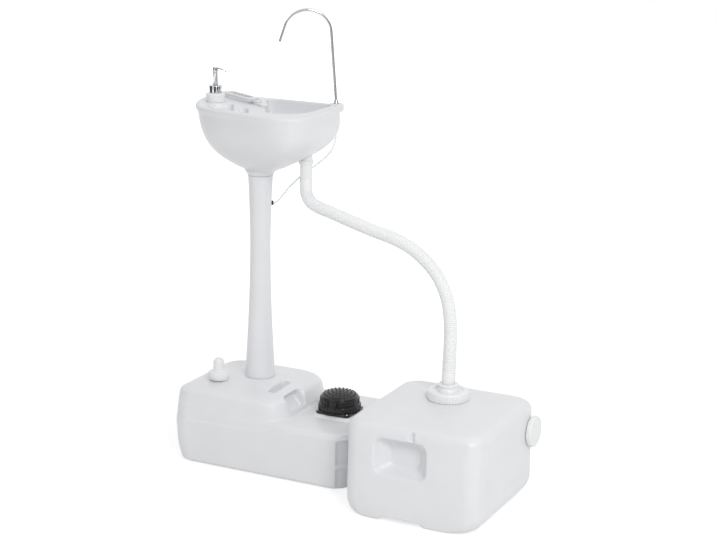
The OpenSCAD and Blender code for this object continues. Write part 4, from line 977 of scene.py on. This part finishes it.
def makeFillCap(c):
    r, h, d = c["collar"] - 1, c["collarHeight"], c["dome"]
    top = h + c["domeHeight"]
    profile = [(24.3, 0), (r - 0.6, 0), (r, 0.6), (r, h - 3.4), (r - 0.8, h - 2.2), (r - 2.4, h - 1.2),
               (d + 6, h - 0.6), (d + 3.4, h - 0.2), (d + 1.6, h + 1.0), (d + 0.6, h + 3.0),
               (d + 0.1, h + 6), (d, h + 12), (d, top - d)]
    profile += quarter(0, top - d, d, d, 0.12, 14) + [(0, 15), (24.3, 15)]
    piece = ribbedCap("fillCap", profile, (c["ribs"], r, 1.2, h - 5.2, 1.0, 2.7))
    moved(piece, *c["place"])
    finish(piece, "white", "fill_lid", "fill_cap")


def makeWasteRing(c):
    r, h = c["radius"] - 1.5, c["height"]
    profile = [(48.8, 0), (r - 1, 0), (r, 1), (r, h - 7)] + quarter(r - 7, h - 7, 7, 7, 0.2, 8)
    profile += [(42, h), (40.8, h - 0.4), (40.2, h - 1.6), (40, h - 3), (38.4, h - 3.8), (31.2, h - 4),
                (30.4, h - 4), (30.4, 21.8), (48.8, 21.8)]
    piece = ribbedCap("wasteRing", profile, (c["ribs"], r, 1.6, h - 9.4, 1.5, 3.2), 144)
    moved(piece, *c["place"])
    finish(piece, "white", "hose_ring", "waste_ring")


def makeEndCap(c):
    r, h = c["radius"] - 1.2, c["height"]
    profile = [(36.4, 0), (r - 0.8, 0), (r, 0.8), (r, h - 5)] + quarter(r - 4, h - 5, 4, 3.4, 0.2, 6)
    profile += [(33.6, h - 1.6), (32.4, h - 1.9), (31.2, h - 1.7), (29, h - 0.9), (20, h - 0.2), (0, h),
                (0, 12), (36.4, 12)]
    piece = ribbedCap("endCap", profile, (c["ribs"], r, 1.2, h - 6.6, 1.2, 3.0), 120)
    piece.data.transform(Matrix.Translation(Vector(c["place"]) * mm) @ tilted(90))
    finish(piece, "white", "end_lid", "end_cap")


makeFillCap(fillCap)
makeWasteRing(screwRing)
makeEndCap(endCap)
print("pedestal and caps made")


# fittings of the hose: connector on the waste tank, nut and tail under the basin

fittings = {"waste": (606, -52), "drain": (115, 53), "bore": 14.5, "flange": 290, "tailLow": 803}


def makeFittings(f):
    x, y = f["waste"]
    b, flange = f["bore"], f["flange"]
    profile = [(b - 1, 272), (b + 3, 272), (b + 3, flange), (47.5, flange), (47.5, 293), (30, 293)]
    profile += [(30, 296), (29, 298.5), (26.4, 301.5), (25.4, 304), (25.6, 306), (27.4, 308.2),
                (28.2, 309.8), (28, 311.6), (26.6, 313), (24.6, 313.6), (19.6, 313.7), (b - 1, 313.7)]
    turned("hoseConnector", profile, 96, x, y, 45, "white", "stand", "hose_connector")
    x, y = f["drain"]
    profile = [(17.1, 842.5), (19.2, 842.5), (19.7, 843), (19.7, 851.6), (19.2, 852.5), (18.1, 852.5),
               (18.1, 845.5), (17.1, 845.5)]
    nut = ribbedCap("drainNut", profile, (18, 19.7, 843.2, 8.4, 0.8, 3), 72)
    moved(nut, x, y)
    finish(nut, "white", "stand", "drain_nut")
    low = f["tailLow"]
    tail = [(b, low), (16.6, low), (17, low + 0.4), (17, 845.5), (17.95, 845.5), (17.95, 848.4), (b, 848.4)]
    turned("drainTail", tail, 64, x, y, 40, "white", "stand", "drain_tail")


makeFittings(fittings)


# foot pump

pump = {
    "place": (256, 0), "flange": 104, "flangeHole": 92, "flangeLow": 163.5, "flangeHigh": 169.5,
    "radius": 60, "tier": 18, "step": 4, "ribs": 36, "ribOut": 1.6,
    "crownLow": 205.5, "crownRadius": 53, "crownHeight": 20, "rim": 3,
    "knobs": [(0, 1), (11, 6), (22, 12), (33, 18), (43, 24)], "knob": 3.25, "knobOut": 1.7,
    "screws": 45,
}


def domeHeight(p, r):
    rise = p["crownHeight"] - p["rim"] - p["knobOut"]
    core = (p["crownRadius"] ** 2 + rise ** 2) / (2 * rise)
    return p["rim"] + rise - core + math.sqrt(core * core - r * r)


def makePump(p):
    x, y = p["place"]
    w = p["flange"]
    low, high = p["flangeLow"], p["flangeHigh"]
    rings = []
    for z, e in ((low, 0.8), (low + 0.8, 0), (high - 1.2, 0), (high - 0.4, 0.5), (high, 1.4)):
        rings.append(level(pill(w - 2 * e, w - 2 * e, 12 - e, 8), z))
    plate = loft("pumpFlange", rings)
    section = [(58, high - 1), (61, high - 1), (61, high + 1.2), (58, high + 1.2)]
    bead = revolve("bead", rounded(section, 1, 3), 96)
    section = rounded([(0, high - 0.9), (4.4, high - 0.9), (5.0, high + 1), (0, high + 1)], 0.3)
    wells = [moved(revolve("well", section, 32), sx * p["screws"], sy * p["screws"])
             for sx in (-1, 1) for sy in (-1, 1)]
    cut(plate, prism("hole", disc(p["flangeHole"], 14), low + 3, high + 4), *wells)
    piece = joined("pumpFlange", plate, bead)
    shade(moved(piece, x, y), 40)
    finish(piece, "rubber", "stand", "pump_flange")

    r, t = p["radius"] - p["ribOut"], p["tier"]
    u = r - p["step"]       # radius of the upper tier
    profile = [(r - 9, 0), (r - 0.3, 0), (r, 0.4), (r - 0.2, t - 2.4), (r - 1, t - 1), (r - 2.6, t - 0.4),
               (u + 0.2, t), (u, t + 0.6), (u - 0.2, 2 * t - 2), (u - 1, 2 * t - 0.6), (u - 2, 2 * t),
               (r - 9, 2 * t)]
    piece = revolve("pumpBellows", profile, 144)
    for k in range(2):
        item = ribBar("rib", t - 1.6, p["ribOut"], 5.0)
        shade(item, 180)
        start = k * tau / 2 / p["ribs"]
        addRing(piece, item, "rubber", p["ribs"], r - k * p["step"] - 0.15, 0.6 + k * t, start)
        drop(item)
    shade(piece, 50)
    moved(piece, x, y, high)
    finish(piece, "rubber", "stand", "pump_bellows")
    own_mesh(piece)

    r = p["crownRadius"]
    profile = [(21, 0), (r - 0.8, 0), (r, 0.8), (r - 0.1, 2.2)]
    profile += [(q, domeHeight(p, q)) for q in np.linspace(r - 0.6, 0, 40)] + [(0, 3), (21, 3)]
    piece = revolve("pumpCrown", profile, 128)
    for q, count in p["knobs"]:
        k, h = p["knob"], domeHeight(p, q) + p["knobOut"]
        profile = [(0, h - 6), (k, h - 6), (k, h - 1.4), (k - 0.25, h - 0.6), (k - 0.9, h - 0.1),
                   (0, h + 0.1)]
        item = revolve("knob", profile, 20)
        shade(item, 60)
        addRing(piece, item, "rubber", count, q, 0, 0)
        drop(item)
    shade(piece, 40)
    moved(piece, x, y, p["crownLow"])
    finish(piece, "rubber", "foot_pump", "pump_crown")

    profile = [(0, 163), (1.9, 163), (1.9, high), (3.5, high + 0.05), (3.5, high + 0.6), (3.1, high + 1.5),
               (2.2, high + 2.2), (0, high + 2.4)]
    item = revolve("head", profile, 28)
    for long, wide in ((3, 0.45), (0.45, 3)):
        slot = np.array([(long, wide), (-long, wide), (-long, -wide), (long, -wide)])
        cut(item, prism("slot", slot, high + 1.4, high + 4))
    shade(item, 35)
    piece = meshOf("pumpScrews", np.zeros((0, 3)), [])
    addRing(piece, item, "chrome", 4, p["screws"] * math.sqrt(2), 0, tau / 8)
    drop(item)
    moved(piece, *p["place"])
    finish(piece, "chrome", "stand", "pump_screws")


makePump(pump)


# springs, coiled wire round each one's axis

springs = {
    "pumpSpring": {
        "place": (256, 0), "radius": 17, "wire": 1.4, "low": 145, "high": 207, "turns": 5,
        "body": "stand", "node": "pump_spring", "joint": "pump_press",
        "heldAt": 143.6, "keep": 0.6},
    "soapSpring": {
        "place": (-157, 22), "radius": 5, "wire": 0.6, "low": 975.7, "high": 1009.8, "turns": 6,
        "body": "soap_dispenser", "node": "soap_spring", "joint": "soap_push",
        "heldAt": 975.1, "keep": 0.74},
}


def makeSpring(name, s):
    x, y = s["place"]
    r, low, rise = s["radius"], s["low"], s["high"] - s["low"]
    n = 20 * s["turns"]
    path = [(x + r * math.cos(tau * i / 20), y + r * math.sin(tau * i / 20), low + rise * i / n)
            for i in range(n + 1)]
    piece = loft(name, tubeRings(path, [s["wire"]] * len(path), 10, (0, 0, 1)))
    shade(piece, 60)
    finish(piece, "steel", s["body"], s["node"])
    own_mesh(piece)


for name, spring in springs.items():
    makeSpring(name, spring)
print("foot pump made")


# faucet

faucet = {
    "place": (148, 167, 1000), "radius": 4, "bore": 3,
    "turn": 210.4, "lean": 4.6, "bendLeft": 18,     # degrees
    "rise": 199, "bend": 66, "drop": 45,
    "lug": 23, "foot": 10, "sides": 28,
}


def makeFaucet(f):
    lean, left = math.radians(f["lean"]), math.radians(f["bendLeft"])
    top = np.array([math.sin(lean), math.cos(lean)]) * f["rise"]
    mid = top + f["bend"] * np.array([math.cos(lean), -math.sin(lean)])
    side = [np.array([0.0, -f["lug"]]), np.array([0.0, 0.0]), np.array([0.0, f["foot"] * 0.5])]
    side += [top * u for u in np.linspace(0.06, 1, 24)]
    side += [mid + f["bend"] * np.array([math.cos(a), math.sin(a)])
             for a in np.linspace(math.pi - lean, left, 49)[1:]]
    end = mid + f["bend"] * np.array([math.cos(left), math.sin(left)])
    down = np.array([math.sin(left), -math.cos(left)])
    side += [end + down * f["drop"] * u for u in np.linspace(0.1, 1, 8)]
    a = math.radians(f["turn"])
    path = [np.array([s[0] * math.cos(a), s[0] * math.sin(a), s[1]]) + np.array(f["place"]) for s in side]
    outer, inner = [tubeRings(path, [f[key]] * len(path), f["sides"], (0, 1, 0))
                    for key in ("radius", "bore")]
    outer.append(path[-1] + (outer[-1] - path[-1]) * 0.93)
    piece = sleeve("faucetTube", outer + inner[::-1])
    shade(piece, 60)
    finish(piece, "chrome", "faucet", "faucet_tube")
    x, y, z = f["place"]
    profile = [(4.05, z - 0.4), (7.6, z - 0.4), (8, z), (8, z + 1.2), (7.4, z + 2.2), (6.4, z + 4),
               (5.8, z + 6.5), (5.4, z + 9.2), (5.1, z + 9.6), (4.05, z + 9.6)]
    turned("faucetFoot", profile, 48, x, y, 40, "chrome", "faucet", "faucet_foot")


makeFaucet(faucet)


# soap dispenser

soap = {
    "place": (-157, 22), "rim": 1000, "cap": 27, "capHeight": 24, "collar": 18.5, "collarHeight": 21,
    "low": 1040, "length": 56, "column": 6.9, "head": 7.5, "spoutTurn": 26, "spout": 1.8}


def makeSoap(s):
    x, y = s["place"]
    z, r, h = s["rim"], s["cap"], s["capHeight"]
    profile = [(15.05, z), (r - 0.8, z), (r - 0.1, z + 0.7), (r, z + 1.6), (r, z + h - 5)]
    profile += quarter(r - 4, z + h - 5, 4, 4, 0.2, 7)
    profile += [(20, z + h - 0.4), (19, z + h), (9, z + h), (9, z + 8.3), (15.05, z + 8.3)]
    turned("soapCap", profile, 96, x, y, 45, "white", "soap_dispenser", "soap_cap")
    z += h
    r, h = s["collar"], s["collarHeight"]
    top = z + h
    profile = [(7.3, top - 3), (9.5, top - 5), (9.5, z), (r - 0.7, z), (r - 0.1, z + 0.6), (r, z + 1.4),
               (r, top - 2.6), (r - 0.4, top - 1.2), (r - 1.4, top - 0.3), (r - 2.6, top), (8.4, top),
               (7.5, top - 0.5)]
    turned("soapCollar", profile, 96, x, y, 45, "chrome", "soap_dispenser", "soap_collar")
    z, c, k, n = s["low"], s["column"], s["head"], s["length"]
    top = z + n
    profile = [(0, 1010.5), (6.45, 1010.5), (6.45, 1015.5), (4, 1015.5), (4, z), (c - 0.5, z), (c, z + 0.5),
               (c, top - 13.4), (c + 0.1, top - 12.6), (k - 0.1, top - 10.6), (k, top - 9.8), (k, top - 2.6),
               (k - 0.4, top - 1.1), (k - 1.5, top - 0.2), (k - 2.6, top), (0, top)]
    head = revolve("soapHead", profile, 64)
    side = curveThrough([(2, -5), (k + 2, -5), (15, -6), (21, -8), (26, -11), (29, -14.5)], 5)
    path = [np.array([p[0], 0.0, top + p[1]]) for p in side]
    radii = [s["spout"] * (1.25 - 0.3 * i / (len(path) - 1)) for i in range(len(path))]
    spout = loft("spout", tubeRings(path, radii, 20, (0, 1, 0)))
    spout.data.transform(Matrix.Rotation(math.radians(s["spoutTurn"]), 4, "Z"))
    piece = moved(joined("soapHead", head, spout), x, y)
    shade(piece, 45)
    finish(piece, "chrome", "soap_pump", "soap_head")


makeSoap(soap)


# towel arm, its bracket and its pin

towel = {
    "pin": (-32, 38), "arm": 1006, "thick": 7, "turn": 149, "length": 176, "width": 40, "bar": 10,
    "bracketTurn": -37, "bracket": (70, 22), "rim": 1000}


def softPlate(name, outline, low, high, soft, *holes):
    # flat plate with rounded edges and holes
    piece = prism(name, outline, low, high)
    if holes:
        cut(piece, *holes)
    apply(piece, "BEVEL", width=soft * mm, segments=3, limit_method="ANGLE", angle_limit=math.radians(50))
    bake(piece)
    shade(piece, 40)
    return piece


def makeTowel(t):
    x, y = t["pin"]
    w, n = t["width"], t["length"]
    bw = t["bracket"][1]
    half = [(-11, bw / 2, 10), (0, bw / 2, 4), (30, w / 2, 8), (n, w / 2, 13)]      # place and softening
    corners = [(a, -c, soft) for a, c, soft in half] + half[::-1]
    outline = softened([q[:2] for q in corners], [q[2] for q in corners], 5)
    bar = t["bar"]
    inside = roundRect(28 + bar, n - bar, -w / 2 + bar, w / 2 - bar, 8, 6)
    hole = prism("hole", inside, t["arm"] - 5, t["arm"] + 20)
    piece = softPlate("towelArm", outline, t["arm"], t["arm"] + t["thick"], 1.6, hole)
    moved(piece, x, y, 0, Matrix.Rotation(math.radians(t["turn"]), 3, "Z"))
    finish(piece, "moulded", "towel_holder", "towel_arm")
    n, w = t["bracket"]
    outline = pill(n, w, w / 2 - 1, 8) + np.array([n / 2 - w / 2, 0])
    piece = softPlate("towelBracket", outline, t["rim"] - 0.2, t["arm"] - 0.3, 1.2)
    moved(piece, x, y, 0, Matrix.Rotation(math.radians(t["bracketTurn"]), 3, "Z"))
    finish(piece, "moulded", "stand", "towel_bracket")
    z = t["arm"] + t["thick"] + 0.3
    profile = [(0, t["rim"]), (3, t["rim"]), (3, z), (6, z), (6, z + 0.7), (5.4, z + 1.8), (4, z + 2.7),
               (0, z + 3)]
    turned("towelPin", profile, 40, x, y, 40, "chrome", "stand", "towel_pin")


makeTowel(towel)
print("faucet, soap dispenser and towel arm made")


# stage: a pale floor, one soft lamp, light from all around and dark cards seen in gloss alone

def areaLamp(name, power, size, place, target):
    lamp = bpy.data.lights.new(name, "AREA")
    lamp.energy = power
    lamp.shape = "RECTANGLE"
    lamp.size = lamp.size_y = size
    holder = bpy.data.objects.new(name, lamp)
    bpy.context.collection.objects.link(holder)
    turn = (Vector(target) - Vector(place)).to_track_quat("-Z", "Y").to_matrix().to_4x4()
    holder.matrix_world = Matrix.Translation(place) @ turn


def anyRay(tree, *labels):
    # one for rays of any of these kinds, otherwise zero
    path = addNode(tree, "ShaderNodeLightPath").outputs
    seen = path[labels[0]]
    for label in labels[1:]:
        seen = mathNode(tree, "MAXIMUM", seen, path[label])
    return seen


def makeWorld(lobes):
    # white for the camera and for gloss, grey light for the rest
    world = bpy.data.worlds.new("studio")
    bpy.context.scene.world = world
    world.use_nodes = True
    tree = world.node_tree
    tree.nodes.clear()
    place = addNode(tree, "ShaderNodeTexCoord").outputs["Generated"]
    total = None
    for strength, way in lobes:
        lobe = addNode(tree, "ShaderNodeVectorMath", {0: place, 1: way}, operation="DOT_PRODUCT")
        least = 0 if any(way) else strength
        part = mathNode(tree, "MULTIPLY_ADD", lobe.outputs["Value"], strength, least, clamp=True)
        total = part if total is None else mathNode(tree, "ADD", total, part)
    grey, white = [addNode(tree, "ShaderNodeBackground", {"Color": (1, 1, 1, 1), "Strength": strength})
                   for strength in (total, 1)]
    seen = anyRay(tree, "Is Camera Ray", "Is Glossy Ray", "Is Transmission Ray")
    mix = addNode(tree, "ShaderNodeMixShader", {0: seen, 1: grey.outputs[0], 2: white.outputs[0]})
    addNode(tree, "ShaderNodeOutputWorld", {"Surface": mix.outputs[0]})


def makeFloorWhite(s):
    material, tree, shader = nodeTree("floorWhite")
    shader.inputs["Base Color"].default_value = (0.9, 0.9, 0.9, 1)
    shader.inputs["Roughness"].default_value = 0.9
    shader.inputs["Specular IOR Level"].default_value = 0.1
    glow = addNode(tree, "ShaderNodeEmission", {"Strength": s["floorGlow"]})
    place = addNode(tree, "ShaderNodeTexCoord").outputs["Object"]
    away = addNode(tree, "ShaderNodeVectorMath", {0: place, 1: s["middle"]}, operation="DISTANCE")
    white = spread(tree, away.outputs["Value"], s["floorShare"], 1, s["clearFrom"], s["clearTo"])
    share = mathNode(tree, "MULTIPLY", anyRay(tree, "Is Camera Ray", "Is Glossy Ray"), white)
    mix = addNode(tree, "ShaderNodeMixShader", {0: share, 1: shader.outputs[0], 2: glow.outputs[0]})
    final = [n for n in tree.nodes if n.type == "OUTPUT_MATERIAL"][0]
    tree.links.new(mix.outputs[0], final.inputs["Surface"])
    return material


def makeStage(s):
    bpy.context.scene.view_settings.view_transform = "Standard"
    makeWorld(s["world"])
    floor = loft("floor", [level(disc(24000, 24, less=1), z) for z in (-20, 0)])
    floor.data.materials.append(makeFloorWhite(s))

    cardMaterial, _, shader = nodeTree("cardBlack")
    shader.inputs["Base Color"].default_value = (0.05, 0.05, 0.05, 1)
    shader.inputs["Roughness"].default_value = 1
    for middle, wide in s["cards"]:
        left, right = math.radians(middle - wide / 2), math.radians(middle + wide / 2)
        far, top = s["cardDistance"], s["cardTop"]
        corners = [(math.cos(a) * far + s["cardMiddle"], math.sin(a) * far, z)
                   for a, z in ((left, 0.02), (right, 0.02), (right, top), (left, top))]
        card = meshOf("card", np.array(corners) / mm, [(0, 1, 2, 3)])
        card.data.materials.append(cardMaterial)
        for kind in ("camera", "diffuse", "shadow", "transmission"):
            setattr(card, "visible_" + kind, False)

    for name, (power, size, place) in s["lamps"].items():
        areaLamp(name, power, size, place, s["lampTarget"])


makeStage(light)
print("stage made")
